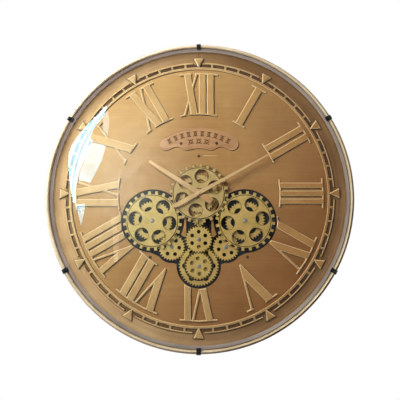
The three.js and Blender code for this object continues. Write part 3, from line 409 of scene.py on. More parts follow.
def layVector(tree, place, s):
    fine = s["fine"]
    if s["lay"] != "spun":
        scale = (s.get("long", fine), fine, fine)
        return node(tree, "ShaderNodeMapping", {"Vector": place, "Scale": scale}).outputs[0]
    # rings about the clock's axis: direction times a small number, and radius times a large one
    flat = node(tree, "ShaderNodeMapping", {"Vector": place, "Scale": (1, 0, 1)}).outputs[0]
    away = vectorMaths(tree, "NORMALIZE", flat)
    radius = node(tree, "ShaderNodeVectorMath", {0: flat}, operation="LENGTH").outputs["Value"]
    around = node(tree, "ShaderNodeVectorMath", {0: away, "Scale": s["long"]}, operation="SCALE").outputs[0]
    depth = node(tree, "ShaderNodeSeparateXYZ", {0: place}).outputs["Y"]
    across = maths(tree, "ADD", radius, depth)
    rings = maths(tree, "MULTIPLY", across, fine)
    lifted = node(tree, "ShaderNodeCombineXYZ", {"Y": rings}).outputs[0]
    return vectorMaths(tree, "ADD", around, lifted)


# Painted light and shade: the colour is tinted along an axis across the face
def paintedLightTint(tree, place, s):
    (across, up), (first, last) = s["axis"], s["fall"]
    along = node(tree, "ShaderNodeVectorMath", {0: place, 1: (across, 0.0, up)}, operation="DOT_PRODUCT")
    share = mappedRange(tree, along.outputs["Value"], [end * paintedLightReach for end in s["span"]], (0.0, 1.0))
    return node(tree, "ShaderNodeMix", {0: share, 4: first, 5: last}, data_type="VECTOR").outputs[1]


def makeFinish(name, s, p):
    material = bpy.data.materials.new(name)
    material.use_nodes = True
    tree = material.node_tree
    shader = tree.nodes["Principled BSDF"]
    place = node(tree, "ShaderNodeTexCoord").outputs["Object"]
    cloud = noise(tree, place, s["cloud"], Detail=p["cloudDetail"], Roughness=p["cloudRoughness"])
    lay = layVector(tree, place, s)
    lines = noise(tree, lay, 1.0, Detail=p["lineDetail"], Roughness=p["lineRoughness"])
    tone = node(tree, "ShaderNodeMix", {0: s["grain"], 2: cloud, 3: lines}).outputs[0]
    ramp = node(tree, "ShaderNodeValToRGB", {0: tone})
    first, last = ramp.color_ramp.elements
    first.position, last.position = p["ramp"]
    first.color, last.color = (*s["dark"], 1), (*s["light"], 1)
    colour = ramp.outputs[0]
    if "fall" in s:
        shade = paintedLightTint(tree, place, s)
        colour = vectorMaths(tree, "MULTIPLY", colour, shade)
    sheen, spread = s["roughness"], p["sheenSpread"]
    rough = mappedRange(tree, lines, (0.3, 0.7), (sheen - spread, sheen + spread))
    relief = {"Height": lines, "Strength": s["bump"], "Distance": p["bumpDistance"]}
    bump = node(tree, "ShaderNodeBump", relief).outputs[0]
    for socket, value in (("Base Color", colour), ("Roughness", rough), ("Normal", bump)):
        tree.links.new(value, shader.inputs[socket])
    shader.inputs["Metallic"].default_value = s["metallic"]
    shader.inputs["Specular IOR Level"].default_value = s["specular"]
    return material


glassLook = {"colour": (0.985, 0.995, 0.99), "roughness": 0.0, "transmission": 1.0, "ior": 1.5}


# Clear glass that lets the light in to the dial
def makeGlass(name, s):
    material = bpy.data.materials.new(name)
    material.use_nodes = True
    tree = material.node_tree
    shader = tree.nodes["Principled BSDF"]
    shader.inputs["Base Color"].default_value = (*s["colour"], 1)
    shader.inputs["Roughness"].default_value = s["roughness"]
    shader.inputs["Transmission Weight"].default_value = s["transmission"]
    shader.inputs["IOR"].default_value = s["ior"]
    clear = node(tree, "ShaderNodeBsdfTransparent", {"Color": (*s["colour"], 1)})
    path = node(tree, "ShaderNodeLightPath")
    through = addedUp(tree, [path.outputs["Is Shadow Ray"], path.outputs["Is Diffuse Ray"]])
    mixed = node(tree, "ShaderNodeMixShader", {0: through, 1: shader.outputs[0], 2: clear.outputs[0]})
    tree.links.new(mixed.outputs[0], tree.nodes["Material Output"].inputs["Surface"])
    return material


finish = {name: makeFinish(name, {**finishDefaults, **settings}, patternSettings)
          for name, settings in finishSettings.items()}
finish["clearGlass"] = makeGlass("clearGlass", glassLook)
print("finishes made:", len(finish))


# Mesh tools

def toMesh(name, work):
    mesh = bpy.data.meshes.new(name)
    work.to_mesh(mesh)
    work.free()
    return mesh


def latheMesh(name, profile, steps=144, closed=True):
    work = bmesh.new()
    rings = []
    for radius, out in profile:
        count = steps if radius > 1e-6 else 1
        angles = [2 * math.pi * k / steps for k in range(count)]
        rings.append([work.verts.new(at(*polar(radius, angle), out)) for angle in angles])
    following = rings[1:] + rings[:1] if closed else rings[1:]
    for first, second in zip(rings, following):
        for k in range(steps):
            corners = [first[k % len(first)], first[(k + 1) % len(first)],
                       second[(k + 1) % len(second)], second[k % len(second)]]
            corners = list(dict.fromkeys(corners))
            if len(corners) > 2:
                work.faces.new(corners)
    bmesh.ops.recalc_face_normals(work, faces=work.faces)
    return toMesh(name, work)


def evaluatedMesh(thing):
    graph = bpy.context.evaluated_depsgraph_get()
    return bpy.data.meshes.new_from_object(thing.evaluated_get(graph), depsgraph=graph)


def merged(mesh, near=1e-6):
    work = bmesh.new()
    work.from_mesh(mesh)
    bmesh.ops.remove_doubles(work, verts=work.verts, dist=near)
    bmesh.ops.recalc_face_normals(work, faces=work.faces)
    work.to_mesh(mesh)
    work.free()
    return mesh


# A flat plate with rounded edges from closed outlines; the inner ones are holes
def plateMesh(name, outlines, back, front, edge=0.4, edgeSteps=1, grow=0.0):
    curve = bpy.data.curves.new(name, "CURVE")
    curve.dimensions = "2D"
    curve.fill_mode = "BOTH"
    curve.extrude = ((front - back) / 2 - edge) * mm
    curve.bevel_depth = edge * mm
    curve.bevel_resolution = edgeSteps
    curve.offset = (grow - edge) * mm
    for outline in outlines:
        spline = curve.splines.new("POLY")
        spline.points.add(len(outline) - 1)
        for dot, (x, y) in zip(spline.points, outline):
            dot.co = (x * mm, y * mm, 0, 1)
        spline.use_cyclic_u = True
    thing = linkObject(name, curve)
    mesh = evaluatedMesh(thing)
    bpy.data.objects.remove(thing)
    middle = (front + back) / 2 * mm
    stand = Matrix(((1, 0, 0, 0), (0, 0, -1, -middle), (0, 1, 0, 0), (0, 0, 0, 1)))
    mesh.transform(stand)
    mesh.name = name
    return merged(mesh)


# A tube about the clock's axis
def tubeMesh(name, inner, outer, back, front, steps=32):
    return latheMesh(name, [(inner, back), (outer, back), (outer, front), (inner, front)], steps)


def rectangle(left, right, low, high):
    return [(left, low), (right, low), (right, high), (left, high)]


def prismMesh(outline, back, front):
    work = bmesh.new()
    rear = [work.verts.new(at(x, y, back)) for x, y in outline]
    fore = [work.verts.new(at(x, y, front)) for x, y in outline]
    work.faces.new(rear)
    work.faces.new(fore[::-1])
    for k in range(len(outline)):
        n = (k + 1) % len(outline)
        work.faces.new((rear[k], fore[k], fore[n], rear[n]))
    bmesh.ops.recalc_face_normals(work, faces=work.faces)
    return toMesh("cutter", work)


def cutAway(mesh, cutters):
    body = linkObject("cutBody", mesh)
    tools = [linkObject("cutTool", cutter) for cutter in cutters]
    for tool in tools:
        step = body.modifiers.new("cut", "BOOLEAN")
        step.operation = "DIFFERENCE"
        step.solver = "EXACT"
        step.object = tool
    made = evaluatedMesh(body)
    for thing in (body, *tools):
        bpy.data.objects.remove(thing)
    return made


def joined(name, meshes):
    work = bmesh.new()
    for mesh in meshes:
        work.from_mesh(mesh)
    return toMesh(name, work)


def moved(mesh, across, up, angle=0.0):
    turn = Matrix.Rotation(-angle, 4, "Y")
    mesh.transform(Matrix.Translation(at(across, up, 0)) @ turn)
    return mesh


def circle(across, up, radius, steps=32, start=0.0):
    return [polar(radius, start + 2 * math.pi * k / steps) + Vector((across, up)) for k in range(steps)]


# Faces that slope between front and side take the second finish
def edged(mesh, flat=0.95, side=0.2):
    mesh.materials.clear()
    for face in mesh.polygons:
        face.material_index = int(side < -face.normal.y < flat)
    return mesh


# Every face takes the second finish
def allSecond(mesh):
    for face in mesh.polygons:
        face.material_index = 1
    return mesh


# The front faces of a CAD node as closed outlines
def frontOutlines(name):
    work = bmesh.new()
    work.from_mesh(frame["nodes"][name].data)
    bmesh.ops.remove_doubles(work, verts=work.verts, dist=1e-6)
    front = min(v.co.y for v in work.verts)
    faces = {face for face in work.faces if all(abs(v.co.y - front) < 1e-5 for v in face.verts)}
    edges = {edge for edge in work.edges if sum(face in faces for face in edge.link_faces) == 1}
    outlines = []
    while edges:
        first = min(edges, key=lambda edge: edge.index)
        edges.remove(first)
        walk = list(first.verts)
        while walk[-1] is not walk[0]:
            onward = next(edge for edge in walk[-1].link_edges if edge in edges)
            edges.remove(onward)
            walk.append(onward.other_vert(walk[-1]))
        outlines.append([Vector((v.co.x, v.co.z)) / mm for v in walk[:-1]])
    work.free()
    return outlines


def finishPiece(name, mesh, body, look, slotName, *nodes, smooth=32):
    piece = linkObject(name, mesh)
    mesh.name = name
    if not mesh.materials:
        for kind in look.split():
            mesh.materials.append(finish[kind])
    mesh.shade_smooth()
    mesh.set_sharp_from_angle(angle=smooth * deg)
    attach(piece, body)
    if nodes:
        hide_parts(*nodes)
    return piece


# The same solid as a CAD node, with its edges softened
def softenedMesh(name, width, steps=2, sharp=25):
    work = bmesh.new()
    work.from_mesh(frame["nodes"][name].data)
    bmesh.ops.remove_doubles(work, verts=work.verts, dist=1e-6)
    bmesh.ops.dissolve_limit(work, angle_limit=0.6 * deg, verts=work.verts, edges=work.edges)
    edges = [edge for edge in work.edges
             if len(edge.link_faces) == 2 and edge.calc_face_angle() > sharp * deg]
    bmesh.ops.bevel(work, geom=edges, offset=width * mm, segments=steps, profile=0.5,
                    affect="EDGES", clamp_overlap=False)
    return toMesh(name, work)


# Geometry Nodes: copies of one piece, turned about the clock's axis or set at the points of a mesh

def treeInput(tree, name):
    return next(item.identifier for item in tree.interface.items_tree
                if item.in_out == "INPUT" and item.name == name)


def makeCopies(name, sockets, layOut):
    tree = bpy.data.node_groups.new(name, "GeometryNodeTree")
    for label, kind in (("Geometry", "Geometry"), ("Piece", "Object"), *sockets, ("Finish", "Material")):
        tree.interface.new_socket(label, in_out="INPUT", socket_type=f"NodeSocket{kind}")
    tree.interface.new_socket("Geometry", in_out="OUTPUT", socket_type="NodeSocketGeometry")
    given = node(tree, "NodeGroupInput").outputs
    points, angle = layOut(tree, given)
    about = node(tree, "ShaderNodeCombineXYZ", {"Y": angle})
    source = node(tree, "GeometryNodeObjectInfo", {"Object": given["Piece"]})
    copies = node(tree, "GeometryNodeInstanceOnPoints", {
        "Points": points, "Instance": source.outputs["Geometry"], "Rotation": about.outputs[0],
    })
    real = node(tree, "GeometryNodeRealizeInstances", {"Geometry": copies.outputs[0]})
    dressed = node(tree, "GeometryNodeSetMaterial", {
        "Geometry": real.outputs[0], "Material": given["Finish"],
    })
    node(tree, "NodeGroupOutput", {"Geometry": dressed.outputs[0]})
    return tree


# A count of points on the axis, each turned one step more than the last
def countedPoints(tree, given):
    points = node(tree, "GeometryNodePoints", {"Count": given["Count"]})
    number = node(tree, "GeometryNodeInputIndex")
    return points.outputs[0], maths(tree, "MULTIPLY_ADD", number.outputs[0], given["Step"], given["Start"])


# The points of a mesh, each turned by chance within the spread
def givenPoints(tree, given):
    least = maths(tree, "MULTIPLY", given["Spread"], -1.0)
    limits = {2: least, 3: given["Spread"], "Seed": given["Seed"]}
    chance = node(tree, "FunctionNodeRandomValue", limits, data_type="FLOAT")
    return given["Geometry"], chance.outputs[1]


turnedCopies = makeCopies("turnedCopies", (("Count", "Int"), ("Start", "Float"), ("Step", "Float")),
                          countedPoints)
pointCopies = makeCopies("pointCopies", (("Seed", "Int"), ("Spread", "Float")), givenPoints)


def grown(tree, carrier, source, look, **inputs):
    holder = linkObject("holder", carrier)
    seed = linkObject("source", source)
    modifier = holder.modifiers.new("copies", "NODES")
    modifier.node_group = tree
    modifier[treeInput(tree, "Piece")] = seed
    modifier[treeInput(tree, "Finish")] = finish[look]
    for name, value in inputs.items():
        modifier[treeInput(tree, name)] = value
    made = evaluatedMesh(holder)
    for thing in (holder, seed):
        bpy.data.objects.remove(thing)
    return made


def turnedMesh(source, look, count, start=0.0, step=None):
    turn = 2 * math.pi / count if step is None else step
    return grown(turnedCopies, bpy.data.meshes.new("empty"), source, look,
                 Count=count, Start=float(start), Step=float(turn))


def pointMesh(source, look, places, spread, seed):
    carrier = bpy.data.meshes.new("places")
    carrier.from_pydata(places, [], [])
    return grown(pointCopies, carrier, source, look, Spread=spread, Seed=seed)


# Case band: drum wall, rolled bead, shelf for the dial and a hemmed rear lip

bandSettings = {
    "radius": 300, "sheet": 1.8, "lipInner": 284, "lipSheet": 2, "beadWidth": 8, "beadRise": 9,
    "rimTop": 49, "shelfInner": 286, "shelfTop": 42.5, "shelfDrop": 5, "shelfSheet": 0.8, "beadSteps": 22,
    "hem": 0.4, "corner": 1, "shelfCorner": (0.3, 0.2),
    "bands": [(292.4, 3), (294.9, 1), (300, 2)],  # outer radius and finish of each line on the bead: the groove in painted shade, the crest, and the outer flank, a copy of the crest's finish with painted shade towards the lower right
    "grooves": [5.5, 9.0, 33.5], "grooveDepth": 0.5, "grooveWidth": 1.2, "plainUpTo": 1.2,
}


def makeCaseBand(s):
    radius, half, hem, corner = s["radius"], s["beadWidth"] / 2, s["hem"], s["corner"]
    foot = s["rimTop"] - s["beadRise"]
    middle = radius - half
    wall = [(s["lipInner"] + hem, 0), (radius - corner, 0), (radius - 0.3 * corner, 0.3 * corner),
            (radius, corner)]
    for place in s["grooves"]:
        wide, deep = s["grooveWidth"] / 2, radius - s["grooveDepth"]
        wall += [(radius, place - wide), (deep, place - wide / 2),
                 (deep, place + wide / 2), (radius, place + wide)]
    angles = [math.pi * k / s["beadSteps"] for k in range(s["beadSteps"] + 1)]
    bead = [(middle + half * math.cos(a), foot + s["beadRise"] * math.sin(a)) for a in angles]
    inside = radius - s["sheet"]
    beadInner, shelf = radius - s["beadWidth"], s["shelfTop"]
    aside, lift = s["shelfCorner"]
    rest = [
        (beadInner, shelf + lift), (beadInner - aside, shelf), (s["shelfInner"], shelf),
        (s["shelfInner"], shelf - s["shelfSheet"]), (inside, shelf - s["shelfDrop"]), (inside, s["lipSheet"]),
        (s["lipInner"] + hem, s["lipSheet"]), (s["lipInner"], s["lipSheet"] / 2),
    ]
    outside = [point for point in bead if point[1] >= shelf or point[0] > middle]
    mesh = latheMesh("caseBand", wall + outside + rest, 180)
    # Lines of the bead by radius: painted shade in the groove and on the outer flank
    for face in mesh.polygons:
        away = math.hypot(face.center.x, face.center.z) / mm
        out = -face.center.y / mm
        tone = next((look for limit, look in s["bands"] if away < limit), 0)
        inner = away < beadInner and out > shelf - s["shelfDrop"]
        face.material_index = tone if out > foot + s["plainUpTo"] or inner else 0
    finishPiece("caseBand", mesh, "case", "spunGold beadGold beadShade beadGroove", "case_gold", "case_band")


makeCaseBand(bandSettings)


# Dial pan: flat dial, cove up to the border under the glass, and the gear openings

panSettings = {
    "front": 36, "sheet": 1.2, "flatRadius": 265.9, "coveWidth": 17.9, "coveRise": 8,
    "rim": 291.7, "coveSteps": 10, "bush": 5.3, "screwHole": 1.7, "rings": (150, 265.3),
    "screws": ["dial_screw_top", "dial_screw_left", "dial_screw_right",
               "plaque_screw_left", "plaque_screw_right"],
}
gearPlaces = {joint["child"]: (joint["pos_m"][0] / mm, joint["pos_m"][2] / mm)
              for joint in frame["joints"] if "pos_m" in joint}
# The opening in the dial: a round for each gear, what lies between them, and the slot up to the idler
pocketSettings = {"cog": 61.2, "lower": 42.64, "side": 30.04, "halfWidth": 24.3, "top": -43.0}


def middleOf(name):
    low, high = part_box(name)
    return (low.x + high.x) / 2 / mm, (low.z + high.z) / 2 / mm


# The outline of a band stretched round some rounds
def hull(rounds, steps=48):
    dots = sorted({(round(p.x, 5), round(p.y, 5)) for x, y, r in rounds for p in circle(x, y, r, steps)})

    def chain(row):
        kept = []
        for x, y in row:
            while len(kept) > 1:
                (ax, ay), (bx, by) = kept[-2], kept[-1]
                if (bx - ax) * (y - ay) - (by - ay) * (x - ax) > 0:
                    break
                kept.pop()
            kept.append((x, y))
        return kept[:-1]

    return chain(dots) + chain(dots[::-1])


def makeDialPan(s, pocket):
    def cove(share, grow):
        angle = share * math.acos(grow / (s["coveRise"] + grow))
        return (s["flatRadius"] + (s["coveWidth"] + grow) * math.sin(angle),
                s["front"] + s["coveRise"] - (s["coveRise"] + grow) * math.cos(angle))

    seat = s["front"] + s["coveRise"]
    shares = [k / s["coveSteps"] for k in range(s["coveSteps"] + 1)]
    profile = [(r, s["front"]) for r in (0, *s["rings"])] + [cove(share, 0) for share in shares]
    profile += [(s["rim"], seat), (s["rim"], seat - s["sheet"])]
    profile += [cove(share, s["sheet"]) for share in shares[::-1]]
    profile += [(r, s["front"] - s["sheet"]) for r in (*s["rings"][::-1], 0)]
    blank = latheMesh("dialPan", profile, 180, closed=False)
    back, front = s["front"] - s["sheet"] - 1, s["front"] + 1
    cutters = [prismMesh(circle(*gearPlaces[name], pocket[name.split("_")[-1]], 96), back, front)
               for name in ("left_cog", "right_cog", "lower", "left_side", "right_side")]
    left, right, (_, low) = (gearPlaces[name] for name in ("left_cog", "right_cog", "lower"))
    small = pocket["side"] / 2
    drop = pocket["cog"] - small
    corners = [(left[0], left[1] - drop, small), (right[0], right[1] - drop, small), (0, low, small)]
    wide = pocket["halfWidth"]
    cutters += [prismMesh(hull(corners), back - 0.01, front + 0.01),
                prismMesh(rectangle(-wide, wide, low, pocket["top"]), back - 0.02, front + 0.02),
                prismMesh(circle(0, 0, s["bush"], 32), back, front)]
    cutters += [prismMesh(circle(*middleOf(name), s["screwHole"], 16), back, front) for name in s["screws"]]
    mesh = merged(cutAway(blank, cutters))
    mesh.materials.clear()
    for face in mesh.polygons:
        away = math.hypot(face.center.x, face.center.z)
        face.material_index = int(away > (s["flatRadius"] - 1) * mm)
    finishPiece("dialPan", mesh, "case", "dialGold spunGold", "dial_gold", "dial_pan")


makeDialPan(panSettings, pocketSettings)


# The seam of the border sheet above the XII, and a bright scratch under the plaque

lineSettings = {
    "seam": {"low": 275.5, "high": 283.0, "half": 0.55, "thick": 0.5, "proud": 0.25},
    "scratch": {"left": 9, "right": 36, "up": 74.5, "half": 0.45, "end": 0.18, "back": 36.02, "front": 36.14},
}


def makeLines(s, pan):
    seam = s["seam"]

    def coveFront(radius):
        share = (radius - pan["flatRadius"]) / pan["coveWidth"]
        return pan["front"] + pan["coveRise"] * (1 - math.sqrt(max(0.0, 1 - share ** 2)))

    work = bmesh.new()
    rows = [[work.verts.new(at(x, radius, coveFront(radius) + seam["proud"] - drop))
             for x in (-seam["half"], seam["half"])]
            for radius in (seam["low"], seam["high"]) for drop in (0, seam["thick"])]
    (a, b), (c, d), (e, f), (g, h) = rows
    for corners in ((a, b, f, e), (c, g, h, d), (a, c, d, b), (e, f, h, g), (a, e, g, c), (b, d, h, f)):
        work.faces.new(corners)
    bmesh.ops.recalc_face_normals(work, faces=work.faces)
    finishPiece("coveSeam", toMesh("seam", work), "case", "seamAndShadowDark", "dial_gold", "dial_pan")
    scratch = s["scratch"]
    up, half, end = scratch["up"], scratch["half"], scratch["end"]
    outline = [(scratch["left"], up - half), (scratch["right"], up - end), (scratch["right"], up + end),
               (scratch["left"], up + half)]
    mesh = plateMesh("scratch", [outline], scratch["back"], scratch["front"], 0.03, 0)
    finishPiece("dialScratch", mesh, "case", "wornGold", "dial_gold", "dial_pan")


makeLines(lineSettings, panSettings)
print("case and dial made")


# Glass: a shallow dome with a flat ground border, and the gasket under it

glassSettings = {
    "radius": 290.6, "dome": 283.4, "back": 45.4, "sheet": 3, "rise": 36, "steps": 26, "chamfer": 0.7,
    "painted": 289.4,  # a dark line on the rim from here outwards: painted shade of the groove beside it
}
gasketSettings = {"inner": 284.3, "outer": 290.1, "back": 44.3, "sheet": 0.8, "edge": 0.25}


def makeGlassDome(s):
    sphere = (s["dome"] ** 2 + s["rise"] ** 2) / (2 * s["rise"])
    front = s["back"] + s["sheet"]

    def arc(foot):
        radii = [s["dome"] * k / s["steps"] for k in range(s["steps"] + 1)]
        return [(r, foot + s["rise"] - sphere + math.sqrt(sphere ** 2 - r ** 2)) for r in radii]

    edge = s["chamfer"]
    border = [(s["painted"], front), (s["radius"] - edge, front), (s["radius"], front - edge),
              (s["radius"], s["back"] + edge), (s["radius"] - edge, s["back"]), (s["painted"], s["back"])]
    mesh = latheMesh("glassDome", arc(front) + border + arc(s["back"])[::-1], 144, closed=False)
    for face in mesh.polygons:
        away = math.hypot(face.center.x, face.center.z) / mm
        face.material_index = (away > s["dome"] + 1) + (away > s["painted"])
    dome = finishPiece("glassDome", mesh, "case", "clearGlass groundEdge beadGroove", "clear_glass",
                       "glass_dome", smooth=8)
    dome.visible_shadow = False  # the ground edge would darken the cove


def makeGasket(s):
    inner, outer, r, e = s["inner"], s["outer"], s["sheet"] / 2, s["edge"]
    back, front = s["back"], s["back"] + s["sheet"]
    profile = [(inner, back + e), (inner + e, back), (outer - e, back), (outer, back + e),
               (outer, front - e), (outer - e, front), (inner + r, front), (inner, front - e)]
    finishPiece("glassGasket", latheMesh("glassGasket", profile), "case", "gasketRubber",
                "gasket_rubber", "glass_gasket")


makeGlassDome(glassSettings)
makeGasket(gasketSettings)


# Clips: one bent strip, copied six times round the rim

clipSettings = {
    "count": 6, "width": 8.4, "sheet": 1.6, "gap": 0.3, "toe": 3, "leg": 26, "steps": 12,
    "bend": 0.72, "nose": 0.4, "soft": 0.25,
}


def makeClips(s, band, glass):
    half, rise, radius = band["beadWidth"] / 2, band["beadRise"], band["radius"]
    foot = band["rimTop"] - rise

    def over(angle, grow):
        return radius - half + (half + grow) * math.cos(angle), foot + (rise + grow) * math.sin(angle)

    angles = [math.pi * s["bend"] * k / s["steps"] for k in range(s["steps"] + 1)]
    toe = glass["back"] + glass["sheet"] + s["gap"]
    toeInner = glass["radius"] - s["toe"]
    inner, outer = s["gap"], s["gap"] + s["sheet"]
    rimInner = radius - band["beadWidth"] - s["gap"]
    profile = [(radius + inner, foot - s["leg"])] + [over(a, inner) for a in angles]
    profile += [(rimInner, toe), (toeInner, toe), (toeInner - s["nose"], toe + s["sheet"] / 2),
                (toeInner, toe + s["sheet"]), (rimInner, toe + s["sheet"])]
    profile += [over(a, outer) for a in angles[::-1]] + [(radius + outer, foot - s["leg"])]
    work = bmesh.new()
    low, high = ([work.verts.new(at(across, r, out)) for r, out in profile]
                 for across in (-s["width"] / 2, s["width"] / 2))
    work.faces.new(low)
    work.faces.new(high[::-1])
    for k in range(len(profile)):
        n = (k + 1) % len(profile)
        work.faces.new((low[k], high[k], high[n], low[n]))
    bmesh.ops.recalc_face_normals(work, faces=work.faces)
    edges = [edge for edge in work.edges if edge.calc_face_angle() > 60 * deg]
    bmesh.ops.bevel(work, geom=edges, offset=s["soft"] * mm, segments=2, profile=0.5, affect="EDGES")
    mesh = turnedMesh(toMesh("clip", work), "blackenedSteel", s["count"])
    finishPiece("rimClips", mesh, "case", "blackenedSteel", "blackened_steel",
                *[f"glass_clip_{k + 1}" for k in range(s["count"])])


makeClips(clipSettings, bandSettings, glassSettings)
print("glass and clips made")


# Chapter ring: smooth ring, ladder of minute bars with its rail, and twelve hour markers

# Painted shadow round raised work: a thin dark plate under it, a little to the lower right, away from the
# lamp
paintedShadowSettings = {"back": 36.03, "front": 36.25, "edge": 0.05, "grow": 0.05, "across": 1.3, "down": 0.7}
ringSettings = {
    "back": 36.3, "height": 3, "inner": 249.8, "width": 4.3, "railInner": 261, "railOuter": 263,
    "gap": 2.6, "bar": 3.4, "barEdge": 0.6, "edge": 0.7, "steps": 14, "lap": (1, 0.4), "step": 0.02,
    "cellGap": 0.3, "cellDrop": 0.08, "ladderWash": 1.25,
    "tip": 253.4, "base": 272, "tipWidth": 1.5, "baseWidth": 20,
    "markerBack": 37.6, "markerHeight": 4.4, "markerEdge": 1.9, "markerWash": (0.02, 0.4, 1.0),
}


def shifted(mesh):
    mesh.transform(Matrix.Translation(at(paintedShadowSettings["across"], -paintedShadowSettings["down"], 0)))
    return mesh


# A painted shadow under raised work, shifted to the lower right
def makePaintedShadow(name, outlines, *nodes):
    s = paintedShadowSettings
    mesh = plateMesh(name, outlines, s["back"], s["front"], s["edge"], 0, s["grow"])
    finishPiece(name, shifted(mesh), "case", "seamAndShadowDark", "relief_gold", *nodes)


# Raised ring work: its sloping edges take the lighter finish, painted highlight and wear
def finishRing(name, mesh, look="reliefGold wornGold", smooth=32):
    finishPiece(name, mesh, "case", look, "relief_gold", "chapter_ring", smooth=smooth)


# Rail and four minute bars of one hour
def hourOutlines(s):
    start, end = s["gap"] * deg, (30 - s["gap"]) * deg
    angles = [start + (end - start) * k / s["steps"] for k in range(s["steps"] + 1)]
    outlines = [[polar(s["railOuter"], a) for a in angles] + [polar(s["railInner"], a) for a in angles[::-1]]]
    near, far = s["inner"] + s["width"] - s["lap"][0], s["railOuter"] - s["lap"][1]
    half = s["bar"] / 2
    corners = ((near, -half), (far, -half), (far, half), (near, half))
    for count in (1, 2, 3, 4):
        along, aside = polar(1, 6 * count * deg), polar(1, 6 * count * deg + math.pi / 2)
        outlines.append([along * r + aside * side for r, side in corners])
    return outlines


def makeChapterRing(s, wash):
    back, front, e = s["back"], s["back"] + s["height"], s["edge"]
    inner, outer = s["inner"], s["inner"] + s["width"]
    profile = [(inner, back), (outer, back), (outer, front - e), (outer - e * 0.3, front - e * 0.3),
               (outer - e, front), (inner + e, front), (inner + e * 0.3, front - e * 0.3), (inner, front - e)]
    finishRing("minuteRing", edged(latheMesh("minuteRing", profile, 180)))
    # each bar lies a step lower than the one before, so that no two faces share a plane
    outlines, step = hourOutlines(s), s["step"]
    parts = [plateMesh("bar", [outline], back + step * k, front - step - step * k, s["barEdge"], 0)
             for k, outline in enumerate(outlines)]
    finishRing("minuteLadder", edged(turnedMesh(joined("hour", parts), "reliefGold", 12)), smooth=20)
    # Painted shadows under the minute bars and the smooth ring, to the lower right
    low, high = wash["back"], wash["front"]
    parts = [plateMesh("bar", [outline], low, high - step / 2 * k, wash["edge"], 0, s["ladderWash"])
             for k, outline in enumerate(outlines)]
    finishRing("ladderWash", shifted(turnedMesh(joined("hour", parts), "seamAndShadowDark", 12)), "seamAndShadowDark")
    grow = wash["grow"]
    under = tubeMesh("ringWash", inner - grow, outer + grow, low, high, 180)
    finishRing("ringWash", shifted(under), "seamAndShadowDark")
    # Painted shade in the cells between the minute bars
    finishRing("cellWash", tubeMesh("cellWash", outer + s["cellGap"], s["railInner"] - s["cellGap"],
                                    low, high - s["cellDrop"], 180), "cellShadeBrown")
    tip, base = s["tipWidth"] / 2, s["baseWidth"] / 2
    outline = [(-base, s["base"]), (-tip, s["tip"]), (tip, s["tip"]), (base, s["base"])]
    back = s["markerBack"]
    marker = plateMesh("marker", [outline], back, back + s["markerHeight"], s["markerEdge"], 0)
    finishRing("hourMarkers", edged(turnedMesh(marker, "reliefGold", 12)), smooth=20)
    # Painted shade round the foot of each hour marker
    drop, rise, grow = s["markerWash"]
    shade = plateMesh("shade", [outline], back - drop, back + rise, 0.1, 0, grow)
    finishRing("markerWash", turnedMesh(shade, "seamAndShadowDark", 12), "seamAndShadowDark")


makeChapterRing(ringSettings, paintedShadowSettings)


# Numerals: the CAD outlines with a wide chamfer in a lighter finish, painted highlight and wear, each over
# its painted shadow

numeralSettings = {
    "names": ("I", "II", "III", "IV", "V", "VI", "VII", "VIII", "IX", "X", "XI", "XII"),
    "back": 36.3, "front": 40.3, "chamfer": 1.2,
}


def makeNumerals(s):
    for name in s["names"]:
        outlines = frontOutlines(f"numeral_{name}")
        mesh = plateMesh(name, outlines, s["back"], s["front"], s["chamfer"], 0)
        finishPiece(f"numeral{name}", edged(mesh), "case", "reliefGold wornGold", "relief_gold",
                    f"numeral_{name}", smooth=20)
        makePaintedShadow(f"numeralWash{name}", outlines, f"numeral_{name}")


makeNumerals(numeralSettings)
print("dial relief made")


# Plaque: copper plate with a raised border and two rows of plain ornament

plaqueSettings = {
    "radius": 130.6, "lobe": 13, "lobeAngle": 33.8, "back": 36.3, "sheet": 1.45, "border": 0.55,
    "borderWidth": 1.5, "crest": (43, 92.2), "dip": (25.4, 85.6), "middle": 89.3,
    "rows": [(118.6, 10, 6.5, 3.5), (103.4, 3, 8.8, 5.0)],  # radius, count, step in degrees, half width
    "tall": 5.4, "stroke": 2.2, "soft": 0.12, "markSunk": 0.15, "markRise": 0.4,
    "plateEdge": 0.3, "rimInset": 0.15, "rimSunk": 0.2, "rimEdge": 0.25,
    "screwSide": 35, "screwUp": 99.1, "screwHole": 1.7,
}


# A smooth line through the dots
def smoothWave(dots, steps):
    line = []
    padded = [dots[0]] + dots + [dots[-1]]
    for a, b, c, d in zip(padded, padded[1:], padded[2:], padded[3:]):
        for k in range(steps):
            t = k / steps
            line.append(0.5 * ((2 * b) + (c - a) * t + (2 * a - 5 * b + 4 * c - d) * t * t
                               + (3 * b - a - 3 * c + d) * t ** 3))
    return line + [dots[-1]]


def plaqueOutline(s):
    top, arch = math.pi / 2, s["lobeAngle"] * deg
    outline = [polar(s["radius"], top - arch * k / 16) for k in range(-16, 17)]
    lobe = polar(s["radius"] - s["lobe"], top - arch)
    end = -math.pi / 2 - 12 * deg
    edge = [polar(s["lobe"], top - arch + (end - top + arch) * k / 14) + lobe for k in range(1, 15)]
    right = [edge[-1], Vector(s["crest"]), Vector(s["dip"])]
    mirrored = [Vector((-p.x, p.y)) for p in right[::-1]]
    wave = smoothWave(right + [Vector((0, s["middle"]))] + mirrored, 6)
    left = [Vector((-p.x, p.y)) for p in edge[::-1]]
    return outline + edge + wave[1:-1] + left


def inset(outline, by):
    made = []
    for k, here in enumerate(outline):
        before, after = outline[k - 1], outline[(k + 1) % len(outline)]
        along = (after - before).normalized()
        made.append(here + Vector((along.y, -along.x)) * by)  # the outline runs clockwise
    return made


